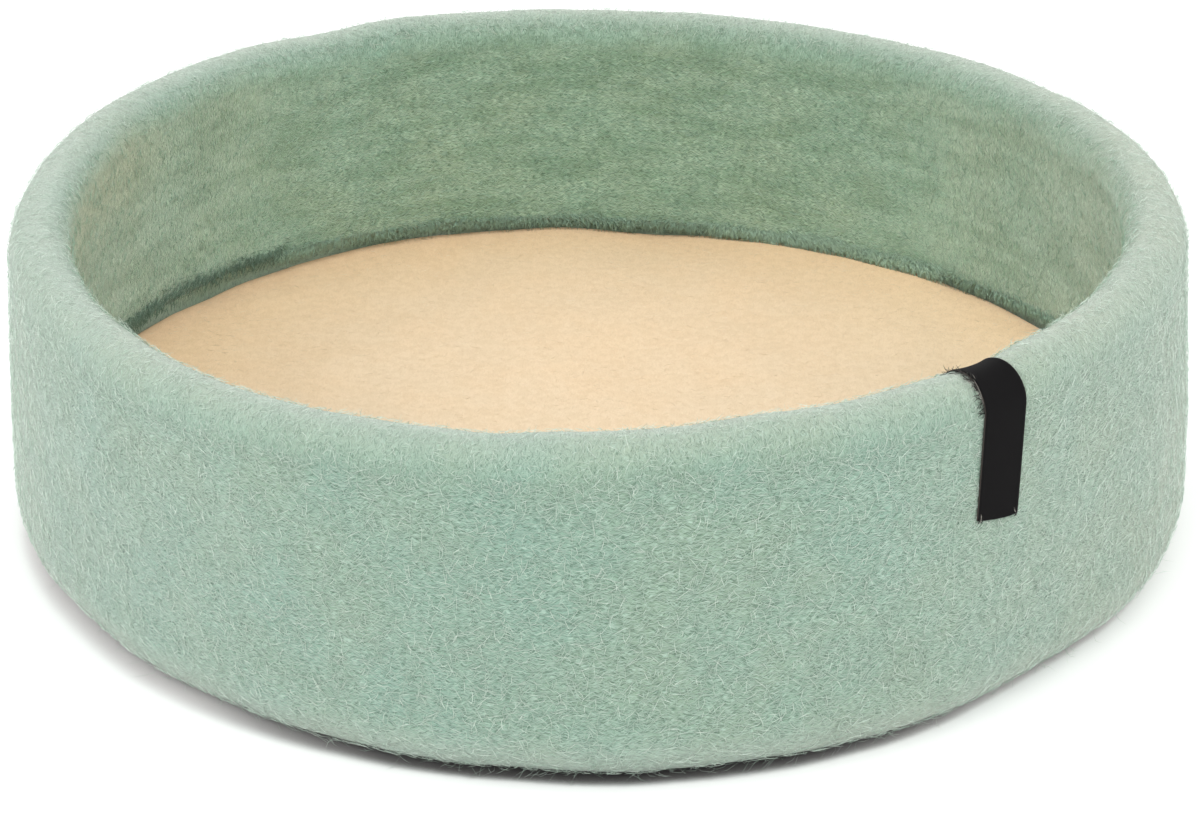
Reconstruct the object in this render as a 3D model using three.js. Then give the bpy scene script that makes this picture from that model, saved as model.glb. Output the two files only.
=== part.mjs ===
import * as THREE from 'three';

// A round felt dog basket in millimetres, +Z up, standing on the plane z = 0 with its front towards -Y.
// It has three pieces: the seamless felt shell, the loose felt pad in it and the ribbon label over its rim.
// Angles are counted from +X towards +Y.

// Shell
const RIM_RADIUS = 250;        // outside, at the rim
const FOOT_RADIUS = 251.4;     // outside, at the floor, before the corner is rounded
const RIM_HEIGHT = 149;        // mean height of the rim's crest
const BELLY = 1;               // how far the wall swells halfway up
const RIM_ROLL = 13;           // radius of the rounded rim, where the felt folds over into two layers
const FOOT_ROLL = 24;          // radius of the rounded corner under the wall
const FELT = 12.5;             // one layer of felt
const BASE_THICKNESS = 14;
const BASE_FILLET = 6;         // radius where the base meets the wall inside
const CUFF_HEIGHT = 43.4;      // mean height of the folded-in layer's lower edge
const CUFF_ROLL = 3.5;         // radius of that lower edge
const CUFF_DRAW = 5;           // how much thinner the double wall is at that edge than at the rim
const CUFF_UNDERCUT = 1.5;     // how far the groove rises behind that edge

// Pad
const PAD_RADIUS = 236.5;
const PAD_THICKNESS = 22.9;
const PAD_CLEARANCE = 1.2;     // the least it leaves to the wall, where it would press against it
const PAD_TOP_ROUND = 3;       // radius of its upper edge
const PAD_FOOT_ROUND = 6;      // radius of its lower edge

// Label
const LABEL_ANGLE = -51.2;     // degrees, at the middle of its outer end
const LABEL_WIDTH = 22.3;
const LABEL_THICKNESS = 1;
const LABEL_DROP = 45.5;       // its length below the rounded rim, outside and inside
const LABEL_LEAN = 3;          // degrees that it leans to the right on its way up the outer wall
const LABEL_SKEW = 0.1;        // slope of its outer end, down to the right

const GAP = 0.3;               // between pieces that rest on each other

// Colours
const GREEN_FELT = 0x9db7a7;
const CREAM_FELT = 0xead3ac;
const BLACK_RIBBON = 0x1e1c20;
const FELT_ROUGHNESS = 0.95;
const RIBBON_ROUGHNESS = 0.7;

// How finely the solids are divided: degrees round the basket, then flat steps for each stretch of a section.
const COARSE_STEP = 4;
const FINE_STEP = 2;           // in the stretch under the label
const FINE_REACH = 12;         // how far that stretch goes to each side of the label
const FOOT_STEPS = 5;
const WALL_STEPS = 4;
const RIM_STEPS = 10;
const CUFF_EDGE_STEPS = 4;
const FILLET_STEPS = 2;
const PAD_FOOT_STEPS = 2;
const PAD_EDGE_STEPS = 3;
const PAD_TOP_STEPS = 6;
const LABEL_WIDTH_STEPS = 4;
const LABEL_DROP_STEPS = 6;
const LABEL_RIM_STEPS = 12;

const FULL_TURN = 2 * Math.PI;
const HALF_TURN = Math.PI;
const QUARTER_TURN = Math.PI / 2;

// How uneven the hand-made felt is. A wave has so many lobes round the basket, in millimetres.
const RIM_HEIGHT_WAVES = [
  { lobes: 1, cosine: 1.4, sine: 0.3 },
  { lobes: 2, cosine: 1.8, sine: -3 },
  { lobes: 3, cosine: -0.5, sine: 0.5 },
];
const FOOT_RADIUS_WAVES = [
  { lobes: 1, cosine: 0.4, sine: 0.5 },
  { lobes: 2, cosine: 1.1, sine: 0 },
  { lobes: 3, cosine: 1, sine: 1.1 },
  { lobes: 4, cosine: 2.2, sine: 0.6 },
];
const CUFF_HEIGHT_WAVES = [
  { lobes: 1, cosine: -0.9, sine: -0.4 },
  { lobes: 2, cosine: 1.2, sine: -0.7 },
  { lobes: 3, cosine: 1.4, sine: 0.8 },
];
const PAD_RADIUS_WAVES = [
  { lobes: 1, cosine: -3, sine: 0 },
  { lobes: 3, cosine: 0.5, sine: 0.4 },
];
const PAD_RELIEF_WAVES = [
  { lobes: 2, cosine: 0.4, sine: -0.3 },
  { lobes: 3, cosine: -0.3, sine: 0.3 },
];
// A local swell or dip: its place and spread round the basket in degrees, and its rise in millimetres.
const RIM_HEIGHT_SWELLS = [
  { angle: 111, spread: 6, rise: 0.8 },
  { angle: 124, spread: 6, rise: -1.2 },
  { angle: 260, spread: 5, rise: -0.9 },
  { angle: 284, spread: 6, rise: 0.6 },
  { angle: 310, spread: 4, rise: -2.5 },
];
const RIM_RADIUS_SWELLS = [
  { angle: 169, spread: 9, rise: -1.2 },
  { angle: 187, spread: 9, rise: 0.7 },
];
const FOOT_RADIUS_SWELLS = [
  { angle: 209, spread: 8, rise: -2 },
  { angle: 300, spread: 12, rise: 1 },
  { angle: 320, spread: 9, rise: -1.6 },
  { angle: 335, spread: 8, rise: 1.4 },
];
const PAD_EDGE_SWELLS = [
  { angle: 58, spread: 9, rise: 0.5 },
  { angle: 83, spread: 6, rise: -2 },
  { angle: 95, spread: 4, rise: 0.7 },
  { angle: 111, spread: 22, rise: 1.2 },
  { angle: 141, spread: 5, rise: -1.4 },
];

const mix = THREE.MathUtils.lerp;
const radians = THREE.MathUtils.degToRad;

const steps = (count, from, to) => Array.from(
  { length: count + 1 }, (_, step) => from + (to - from) * step / count);

// The sum of a table's waves at an angle.
const wave = (rows, angle) => rows.reduce((sum, { lobes, cosine, sine }) => {
  const phase = lobes * angle;
  return sum + cosine * Math.cos(phase) + sine * Math.sin(phase);
}, 0);

// The sum of a table's swells at an angle: each is a bell curve round its own place.
const swell = (rows, angle) => rows.reduce((sum, row) => {
  const turned = THREE.MathUtils.euclideanModulo(angle - radians(row.angle) + HALF_TURN, FULL_TURN);
  const away = (turned - HALF_TURN) / radians(row.spread);
  return sum + row.rise * Math.exp(-(away ** 2));
}, 0);

// The shell's section at one angle: its outer wall, the centre height of its rounded rim, and its cuff.
function sectionAt(angle) {
  const rimRadius = RIM_RADIUS + swell(RIM_RADIUS_SWELLS, angle);
  const footRadius = FOOT_RADIUS + wave(FOOT_RADIUS_WAVES, angle) + swell(FOOT_RADIUS_SWELLS, angle);
  const rimHeight = RIM_HEIGHT + wave(RIM_HEIGHT_WAVES, angle) + swell(RIM_HEIGHT_SWELLS, angle);
  const rollHeight = rimHeight - RIM_ROLL;
  const cuffHeight = CUFF_HEIGHT + wave(CUFF_HEIGHT_WAVES, angle);
  const outer = (z) => {
    const share = z / rollHeight;
    return mix(footRadius, rimRadius, share) + BELLY * Math.sin(HALF_TURN * share);
  };
  const inner = (z) => {
    const draw = CUFF_DRAW * (rollHeight - z) / (rollHeight - cuffHeight);
    return outer(z) - 2 * RIM_ROLL + draw;
  };
  return { rollHeight, cuffHeight, outer, inner };
}

// The shell's profile at one angle, as [radius, height] points from the base's underside, up the outer wall,
// over the rim, down the cuff into the groove and in over the base.
function shellProfile(angle) {
  const { rollHeight, cuffHeight, outer, inner } = sectionAt(angle);
  const cuffTurn = cuffHeight + CUFF_ROLL;
  const cuffCentre = inner(cuffTurn) + CUFF_ROLL;
  const grooveHeight = cuffHeight + CUFF_UNDERCUT;
  const filletHeight = BASE_THICKNESS + BASE_FILLET;
  const filletCentre = outer(filletHeight) - FELT - BASE_FILLET;
  const foot = outer(0) - FOOT_ROLL;
  return [
    ...steps(1, foot / 2, foot).map((radius) => [radius, 0]),
    ...steps(FOOT_STEPS, 0, QUARTER_TURN).slice(1).map((turn) => {
      const z = FOOT_ROLL * (1 - Math.cos(turn));
      return [outer(z) - FOOT_ROLL * (1 - Math.sin(turn)), z];
    }),
    ...steps(WALL_STEPS, FOOT_ROLL, rollHeight).slice(1, -1).map((z) => [outer(z), z]),
    ...steps(RIM_STEPS, 0, HALF_TURN).map((turn) => [
      outer(rollHeight) - RIM_ROLL * (1 - Math.cos(turn)), rollHeight + RIM_ROLL * Math.sin(turn)]),
    ...steps(WALL_STEPS, rollHeight, cuffTurn).slice(1, -1).map((z) => [inner(z), z]),
    ...steps(CUFF_EDGE_STEPS, 0, QUARTER_TURN).map((turn) => [
      cuffCentre - CUFF_ROLL * Math.cos(turn), cuffTurn - CUFF_ROLL * Math.sin(turn)]),
    ...steps(1, grooveHeight, filletHeight).map((z) => [outer(z) - FELT, z]),
    ...steps(FILLET_STEPS, 0, QUARTER_TURN).slice(1).map((turn) => [
      filletCentre + BASE_FILLET * Math.cos(turn), filletHeight - BASE_FILLET * Math.sin(turn)]),
    [foot / 2, BASE_THICKNESS],
  ];
}

// How high the pad's top stands above its even thickness, at a share of its radius.
function padRelief(share, angle) {
  return share ** 2 * wave(PAD_RELIEF_WAVES, angle) + share ** 8 * swell(PAD_EDGE_SWELLS, angle);
}

// The pad's profile at one angle, as [radius, height] points from its underside, round its edge and in over
// its top.
function padProfile(angle) {
  const { outer } = sectionAt(angle);
  const wallInside = Math.min(outer(BASE_THICKNESS), outer(BASE_THICKNESS + PAD_THICKNESS)) - FELT;
  const padRadius = Math.min(PAD_RADIUS + wave(PAD_RADIUS_WAVES, angle), wallInside - PAD_CLEARANCE);
  const footCentre = padRadius - PAD_FOOT_ROUND;
  const topCentre = padRadius - PAD_TOP_ROUND;
  const shoulder = PAD_THICKNESS - PAD_TOP_ROUND;
  return [
    ...steps(1, footCentre / 2, footCentre).map((radius) => [radius, 0]),
    ...steps(PAD_FOOT_STEPS, 0, QUARTER_TURN).slice(1).map((turn) => [
      footCentre + PAD_FOOT_ROUND * Math.sin(turn), PAD_FOOT_ROUND * (1 - Math.cos(turn))]),
    ...steps(PAD_EDGE_STEPS, 0, QUARTER_TURN).map((turn) => [
      topCentre + PAD_TOP_ROUND * Math.cos(turn),
      shoulder + PAD_TOP_ROUND * Math.sin(turn) + padRelief(1, angle)]),
    ...steps(PAD_TOP_STEPS, topCentre, 0).slice(1, -1).map((radius) => [
      radius, PAD_THICKNESS + padRelief(radius / topCentre, angle)]),
  ];
}

const ROLL_LENGTH = HALF_TURN * RIM_ROLL;  // the way over the rounded rim
const NEARBY = 0.5;

// A point on the shell by how far it lies along the way from the outer wall over the rim and down inside:
// travel is 0 where the outer wall meets the rounded rim.
function overRim(angle, travel) {
  const { rollHeight, outer, inner } = sectionAt(angle);
  if (travel <= 0) return [outer(rollHeight + travel), rollHeight + travel];
  if (travel >= ROLL_LENGTH) {
    const z = rollHeight - (travel - ROLL_LENGTH);
    return [inner(z), z];
  }
  const turn = travel / RIM_ROLL;
  return [outer(rollHeight) - RIM_ROLL * (1 - Math.cos(turn)), rollHeight + RIM_ROLL * Math.sin(turn)];
}

// The same point raised from the felt by a distance along its normal, in space. The normal is square to the
// way between the points just before and just after it.
function raised(angle, travel, lift) {
  const [r0, z0] = overRim(angle, travel - NEARBY);
  const [r1, z1] = overRim(angle, travel + NEARBY);
  const [r, z] = overRim(angle, travel);
  const length = Math.hypot(r1 - r0, z1 - z0);
  const radius = r + lift * (z1 - z0) / length;
  const height = z - lift * (r1 - r0) / length;
  return new THREE.Vector3(radius * Math.cos(angle), radius * Math.sin(angle), height);
}

// The label's cross-section at one place along it: its face from left to right, then its back from right to
// left.
function labelRing(travel) {
  const skew = LABEL_SKEW * THREE.MathUtils.clamp(-travel / LABEL_DROP, 0, 1);
  const lean = (Math.min(travel, 0) + LABEL_DROP) * Math.tan(radians(LABEL_LEAN));
  const place = (across, lift) => raised(
    radians(LABEL_ANGLE) + (across + lean) / RIM_RADIUS, travel - skew * across, lift);
  const across = steps(LABEL_WIDTH_STEPS, -LABEL_WIDTH / 2, LABEL_WIDTH / 2);
  return [
    ...across.map((distance) => place(distance, GAP + LABEL_THICKNESS)),
    ...across.toReversed().map((distance) => place(distance, GAP)),
  ];
}

// A closed solid through rings of points: each ring joins the next, and a fan closes each end.
// A ring runs so that, turned to the next one, its faces look outwards.
function solidThroughRings(rings) {
  const size = rings[0].length;
  const centre = (ring) => {
    const sum = new THREE.Vector3();
    ring.forEach((point) => sum.add(point));
    return sum.divideScalar(size);
  };
  const points = [...rings.flat(), centre(rings[0]), centre(rings.at(-1))];
  const first = rings.length * size;
  const faces = [];
  for (let place = 0; place < size; place += 1) {
    const next = (place + 1) % size;
    faces.push(first, next, place);
    for (let ring = 0; ring < rings.length - 1; ring += 1) {
      const [here, there] = [ring * size, (ring + 1) * size];
      faces.push(here + place, here + next, there + next, here + place, there + next, there + place);
    }
    const last = first - size;
    faces.push(first + 1, last + place, last + next);
  }
  const geometry = new THREE.BufferGeometry().setFromPoints(points);
  geometry.setIndex(faces);
  geometry.computeVertexNormals();
  return geometry;
}

// The angles of the sections round the basket, closer together under the label.
function sectionAngles() {
  const [fineStart, fineEnd] = [-FINE_REACH, FINE_REACH].map(
    (reach) => COARSE_STEP * Math.round((LABEL_ANGLE + reach) / COARSE_STEP));
  const fine = steps((fineEnd - fineStart) / FINE_STEP, fineStart, fineEnd);
  const coarse = steps((fineStart + 360 - fineEnd) / COARSE_STEP, fineEnd, fineStart + 360);
  return [...fine, ...coarse.slice(1, -1)].map(radians);
}

// A solid whose profile changes with the angle, all the way round.
function turnedSolid(profile) {
  const angles = sectionAngles();
  const profiles = angles.map(profile);
  return solidThroughRings(profiles[0].map((_, place) => angles.map((angle, side) => {
    const [radius, height] = profiles[side][place];
    return new THREE.Vector3(radius * Math.cos(angle), radius * Math.sin(angle), height);
  })));
}

// The label from its outer end, over the rim, to its inner end.
function labelSolid() {
  const travels = [
    ...steps(LABEL_DROP_STEPS, -LABEL_DROP, 0),
    ...steps(LABEL_RIM_STEPS, 0, ROLL_LENGTH).slice(1, -1),
    ...steps(LABEL_DROP_STEPS, ROLL_LENGTH, ROLL_LENGTH + LABEL_DROP),
  ];
  return solidThroughRings(travels.map(labelRing));
}

function piece(name, geometry, color, roughness) {
  const mesh = new THREE.Mesh(geometry, new THREE.MeshStandardMaterial({ color, roughness, metalness: 0 }));
  mesh.name = name;
  return mesh;
}

const shell = piece('felt_shell', turnedSolid(shellProfile), GREEN_FELT, FELT_ROUGHNESS);
const pad = piece('felt_pad', turnedSolid(padProfile), CREAM_FELT, FELT_ROUGHNESS);
const label = piece('ribbon_label', labelSolid(), BLACK_RIBBON, RIBBON_ROUGHNESS);
pad.position.z = BASE_THICKNESS + GAP;

// The origin is the middle of the basket's own outline on the floor.
const basket = new THREE.Group();
basket.add(shell, pad, label);
const middle = new THREE.Box3().setFromObject(basket).getCenter(new THREE.Vector3());
basket.position.set(-middle.x, -middle.y, 0);

export default basket;
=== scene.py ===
"""A round felt dog basket: a seamless green felt shell, a cream felt pad and a black ribbon over its rim.

Lengths are in metres, except in the tables of waves and swells, which are in millimetres. +Z is up and the
basket's front is towards -Y. Angles run from +X towards +Y. A place on a piece's skin is an angle round the
basket and a travel, the way along the piece's section.
"""

import logging
import math
from dataclasses import dataclass, field
from enum import Enum

import bpy
import numpy as np
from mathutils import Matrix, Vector


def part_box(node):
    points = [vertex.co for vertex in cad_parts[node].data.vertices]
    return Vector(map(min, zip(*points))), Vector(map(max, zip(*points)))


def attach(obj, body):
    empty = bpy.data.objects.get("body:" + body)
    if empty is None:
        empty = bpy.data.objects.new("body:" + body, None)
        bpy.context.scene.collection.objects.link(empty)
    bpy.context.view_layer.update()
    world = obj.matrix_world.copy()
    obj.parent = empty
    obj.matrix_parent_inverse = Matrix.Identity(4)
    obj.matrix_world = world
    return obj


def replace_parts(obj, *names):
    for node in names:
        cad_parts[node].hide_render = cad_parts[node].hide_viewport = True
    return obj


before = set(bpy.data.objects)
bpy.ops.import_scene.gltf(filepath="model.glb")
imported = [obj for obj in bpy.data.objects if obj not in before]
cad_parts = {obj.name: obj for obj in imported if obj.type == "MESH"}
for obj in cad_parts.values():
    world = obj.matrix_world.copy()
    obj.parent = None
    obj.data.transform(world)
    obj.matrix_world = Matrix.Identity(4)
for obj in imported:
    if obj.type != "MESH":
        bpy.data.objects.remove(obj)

LOG = logging.getLogger("basket")
MM = 0.001
TURN = 2 * math.pi
BODY = "root"
STRAND_CORNERS = (90, 210, 330)
Array = np.ndarray
Colour = tuple[float, float, float, float]
Socket = bpy.types.NodeSocket
Feed = Socket | float | Colour


@dataclass(frozen=True)
class Wave:
    """An even wave round the basket: its number of lobes, and its cosine and sine parts in millimetres."""

    lobes: int
    cosine: float
    sine: float

    def at(self, angle: Array) -> Array:
        """The wave at an angle in radians: each part times the cosine or sine of lobes times the angle."""
        return MM * (self.cosine * np.cos(self.lobes * angle) + self.sine * np.sin(self.lobes * angle))


@dataclass(frozen=True)
class Swell:
    """A local swell round the basket: its place and spread in degrees, and its rise in millimetres.

    In the tables that a finish follows, the rise is a plain share instead.
    """

    angle: float
    spread: float
    rise: float

    def at(self, angle: Array) -> Array:
        """The swell at an angle in radians: a bell curve of the way from its place, in spreads."""
        away = (angle - math.radians(self.angle) + math.pi) % TURN - math.pi
        return MM * self.rise * np.exp(-((away / math.radians(self.spread)) ** 2))


def total(rows: tuple[Wave | Swell, ...], angle: Array) -> Array:
    """The sum of a table's waves or swells at an angle in radians."""
    return sum(row.at(angle) for row in rows)


def spaced(start: float | Array, end: float | Array, count: int) -> Array:
    """Count places from start to end, both included, down the rows of a grid."""
    share = np.linspace(0, 1, count)[:, None]
    return start + (end - start) * share


@dataclass(frozen=True)
class Ripple:
    """Seeded soft unevenness of a skin, as the sum of flat waves that cross it in random directions."""

    seed: int
    height: float
    shortest: float
    longest: float
    waves: int = 40

    def at(self, angle: Array, travel: Array, radius: float) -> Array:
        """The unevenness at places on a skin.

        Each wave is a cosine of (lobes * angle + travel * pace + phase). Its length lies between the
        shortest and the longest, and its lobes are a whole number, so that the skin meets itself. Longer
        waves are higher, as their length's square root.

        Args:
            angle: angles round the basket, in radians.
            travel: ways along the section, in metres.
            radius: the radius at which lobes are counted.

        Returns:
            Heights in metres, with about self.height as their standard deviation.
        """
        draw = np.random.default_rng(self.seed)
        length = np.exp(draw.uniform(math.log(self.shortest), math.log(self.longest), self.waves))
        heading = draw.uniform(0, math.pi, self.waves)
        phase = draw.uniform(0, TURN, self.waves)
        lobes = np.round(radius * TURN * np.cos(heading) / length)
        pace = TURN * np.sin(heading) / length
        weight = np.sqrt(length)
        weight = weight * self.height * math.sqrt(2) / np.linalg.norm(weight)
        rise = np.zeros(np.broadcast(angle, travel).shape)
        for row in range(self.waves):
            rise += weight[row] * np.cos(lobes[row] * angle + pace[row] * travel + phase[row])
        return rise


@dataclass
class Skin:
    """A closed skin round the basket's axis, as a grid with a row for each place along the section.

    The columns start at the back and go round once. The first and the last row each close on a point.
    """

    radius: Array
    height: Array
    angle: Array
    points: Array = field(init=False)
    normals: Array = field(init=False)
    travel: Array = field(init=False)

    def __post_init__(self) -> None:
        """Works out the points, the normals and the travel of the grid."""
        self.travel = self._travel()
        self._place()

    def _travel(self) -> Array:
        """The way along the section to each row: the summed steps of the mean radius and height."""
        radius, height = self.radius.mean(1), self.height.mean(1)
        return np.concatenate([[0], np.cumsum(np.hypot(np.diff(radius), np.diff(height)))])

    def _place(self) -> None:
        """Works out the points and the normals.

        Points are (radius * cos, radius * sin, height), and normals the cross product of the grid's two
        ways.
        """
        across = np.stack([np.cos(self.angle), np.sin(self.angle)], -1)
        self.points = np.concatenate([self.radius[..., None] * across, self.height[..., None]], -1)
        around = np.roll(self.points, -1, 1) - np.roll(self.points, 1, 1)
        along = np.gradient(self.points, axis=0)
        normals = np.cross(around, along)
        self.normals = normals / np.linalg.norm(normals, axis=-1, keepdims=True)

    def swell(self, rise: Array) -> None:
        """Moves each point along its normal by its rise, and works out the normals again.

        Args:
            rise: a height for each point of the grid, in metres.
        """
        outwards = np.stack([np.cos(self.angle), np.sin(self.angle)], -1)
        self.radius = self.radius + rise * (self.normals[..., :2] * outwards).sum(-1)
        self.height = self.height + rise * self.normals[..., 2]
        self._place()

    def at(self, angle: Array, travel: Array) -> tuple[Array, Array]:
        """Points and normals at places on the skin, by bilinear interpolation of the grid.

        Args:
            angle: angles round the basket, in radians.
            travel: ways along the section, of the same shape.

        Returns:
            The points and the unit normals, each with a last axis of three.
        """
        columns = len(self.angle)
        column = ((angle - self.angle[0]) / TURN % 1) * columns
        row = np.interp(travel, self.travel, np.arange(len(self.travel)))
        low_row = np.minimum(row.astype(int), len(self.travel) - 2)
        low_column = column.astype(int) % columns
        next_column = (low_column + 1) % columns
        down, over = (row - low_row)[..., None], (column - column.astype(int))[..., None]
        found = []
        for grid in (self.points, self.normals):
            upper = grid[low_row, low_column] * (1 - over) + grid[low_row, next_column] * over
            lower = grid[low_row + 1, low_column] * (1 - over) + grid[low_row + 1, next_column] * over
            found.append(upper * (1 - down) + lower * down)
        points, normals = found
        return points, normals / np.linalg.norm(normals, axis=-1, keepdims=True)

    def mesh(self, name: str, flat_radius: Array, **shares: Array) -> bpy.types.Mesh:
        """The skin as a closed mesh of quads between rows, with a fan of triangles at each end.

        Its UV map, named skin, is in metres. A quad is laid out round, as the way round at the rim's radius
        and the travel, or flat, as the flat radius times the cosine and the sine of the angle.

        Args:
            name: the mesh's name.
            flat_radius: the radius at which each row is laid out flat, or NaN where it is laid out round.
            shares: for each attribute that the finish reads, its values on the grid.

        Returns:
            The new mesh.
        """
        rows, columns = self.radius.shape
        grid = np.arange(rows * columns).reshape(rows, columns)
        beside = np.roll(grid, -1, 1)
        quads = np.stack([grid[:-1], beside[:-1], beside[1:], grid[1:]], -1).reshape(-1, 4)
        first, last = rows * columns, rows * columns + 1
        start_fan = np.stack([np.full(columns, first), beside[0], grid[0]], -1)
        end_fan = np.stack([np.full(columns, last), grid[-1], beside[-1]], -1)
        poles = np.stack([self.points[0].mean(0), self.points[-1].mean(0)])
        mesh = build_mesh(
            name, np.concatenate([self.points.reshape(-1, 3), poles]), [quads, start_fan, end_fan],
            self._layout(flat_radius))
        for share, values in shares.items():
            grid_values = np.broadcast_to(values, (rows, columns))
            ends = [grid_values[0].mean(), grid_values[-1].mean()]
            set_share(mesh, share, np.concatenate([grid_values.ravel(), ends]))
        return mesh

    def _layout(self, flat_radius: Array) -> Array:
        """The UV map of the quads and both fans, with a row for each corner of each face.

        Args:
            flat_radius: the radius at which each row is laid out flat, or NaN where it is laid out round.

        Returns:
            The corners' places on the map.
        """
        columns = len(self.angle)
        step = TURN / columns
        angle = self.angle - self.angle[0]
        ends = np.stack([angle, angle + step], -1)
        spread = np.stack([np.cos(ends), np.sin(ends)], -1)
        flat = flat_radius[:, None, None, None] * spread
        round_off = np.broadcast_to(ends * ShellShape.rim_radius, (len(self.travel), columns, 2))
        travel = np.broadcast_to(self.travel[:, None, None], round_off.shape)
        rolled = np.stack([round_off, travel], -1)
        is_flat = ~np.isnan(flat_radius[:-1] + flat_radius[1:])[:, None, None, None]
        low = np.where(is_flat, flat[:-1], rolled[:-1])
        high = np.where(is_flat, flat[1:], rolled[1:])
        quads = np.stack([low[:, :, 0], low[:, :, 1], high[:, :, 1], high[:, :, 0]], 2)
        centre = np.zeros((columns, 2))
        start_fan = np.stack([centre, flat[0, :, 1], flat[0, :, 0]], 1)
        end_fan = np.stack([centre, flat[-1, :, 0], flat[-1, :, 1]], 1)
        return np.concatenate([part.reshape(-1, 2) for part in (quads, start_fan, end_fan)])


def build_mesh(name: str, points: Array, faces: list[Array], uv: Array | None = None) -> bpy.types.Mesh:
    """A mesh from arrays.

    Args:
        name: the mesh's name.
        points: one row of three for each vertex.
        faces: arrays of vertex numbers, each with a row for a face and a column for each of its corners.
        uv: one row of two for each corner of each face, in the order of the faces.

    Returns:
        The new mesh, shaded smooth.
    """
    mesh = bpy.data.meshes.new(name)
    corners = np.concatenate([block.ravel() for block in faces])
    sizes = np.concatenate([np.full(len(block), block.shape[1]) for block in faces])
    mesh.vertices.add(len(points))
    mesh.vertices.foreach_set("co", points.astype(np.float32).ravel())
    mesh.loops.add(len(corners))
    mesh.loops.foreach_set("vertex_index", corners.astype(np.int32))
    mesh.polygons.add(len(sizes))
    mesh.polygons.foreach_set("loop_start", (np.cumsum(sizes) - sizes).astype(np.int32))
    mesh.polygons.foreach_set("use_smooth", np.ones(len(sizes), bool))
    if uv is not None:
        mesh.uv_layers.new(name="skin").uv.foreach_set("vector", uv.astype(np.float32).ravel())
    mesh.update(calc_edges=True)
    if mesh.validate():
        raise ValueError(f"the mesh {name} had faults")
    return mesh


def set_share(mesh: bpy.types.Mesh, name: str, values: Array) -> None:
    """Gives a mesh a named value at each vertex, which its finish reads."""
    mesh.attributes.new(name, "FLOAT", "POINT").data.foreach_set("value", values.astype(np.float32))


def strand_mesh(name: str, points: Array, normals: Array, width: Array, tone: Array) -> bpy.types.Mesh:
    """Thin three-sided strands that end in a point at both ends.

    Round each inner place stands a triangle of points: the place plus half the width times (cosine times
    the sideways way plus sine times the normal), at a third of a turn apart.

    Args:
        name: the mesh's name.
        points: the strands' places, with an axis for the strand and one for the place along it.
        normals: the way up from what the strand lies on, at the same places.
        width: each strand's width.
        tone: each strand's tone, which the finish reads.

    Returns:
        The new mesh.
    """
    count, places = points.shape[:2]
    side = np.cross(np.gradient(points, axis=1), normals)
    side = side / np.linalg.norm(side, axis=-1, keepdims=True)
    turns = np.radians(STRAND_CORNERS)
    sides = len(turns)
    offset = (np.cos(turns)[:, None] * side[:, 1:-1, None, :]
              + np.sin(turns)[:, None] * normals[:, 1:-1, None, :])
    rings = points[:, 1:-1, None, :] + offset * width[:, None, None, None] / 2
    corners = np.concatenate([points[:, :1], rings.reshape(count, -1, 3), points[:, -1:]], 1)
    size = corners.shape[1]
    first_corner = 1 + sides * np.arange(places - 2)[:, None]
    ring = first_corner + np.arange(sides)
    after = first_corner + (np.arange(sides) + 1) % sides
    start = np.stack([np.zeros(sides, int), ring[0], after[0]], -1)
    end = np.stack([np.full(sides, size - 1), after[-1], ring[-1]], -1)
    walls = np.stack([ring[:-1], ring[1:], after[1:], after[:-1]], -1).reshape(-1, 4)
    first_of_strand = size * np.arange(count)[:, None, None]
    faces = [(block + first_of_strand).reshape(-1, block.shape[1]) for block in (start, end, walls)]
    mesh = build_mesh(name, corners.reshape(-1, 3), faces)
    set_share(mesh, "tone", np.repeat(tone, size))
    return mesh


def smooth(value: Array, low: float, high: float) -> Array:
    """A smooth step from 0 at low to 1 at high."""
    share = np.clip((value - low) / (high - low), 0, 1)
    return share * share * (3 - 2 * share)


def add_piece(mesh: bpy.types.Mesh, material: bpy.types.Material) -> bpy.types.Object:
    """Puts a mesh into the scene as a piece that rides on the basket.

    Args:
        mesh: the piece's mesh, which gives the piece its name.
        material: its finish.

    Returns:
        The new object, at the origin.
    """
    piece = bpy.data.objects.new(mesh.name, mesh)
    bpy.context.scene.collection.objects.link(piece)
    mesh.materials.append(material)
    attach(piece, BODY)
    mesh.calc_loop_triangles()
    LOG.info("%s: %d triangles", piece.name, len(mesh.loop_triangles))
    return piece


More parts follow.
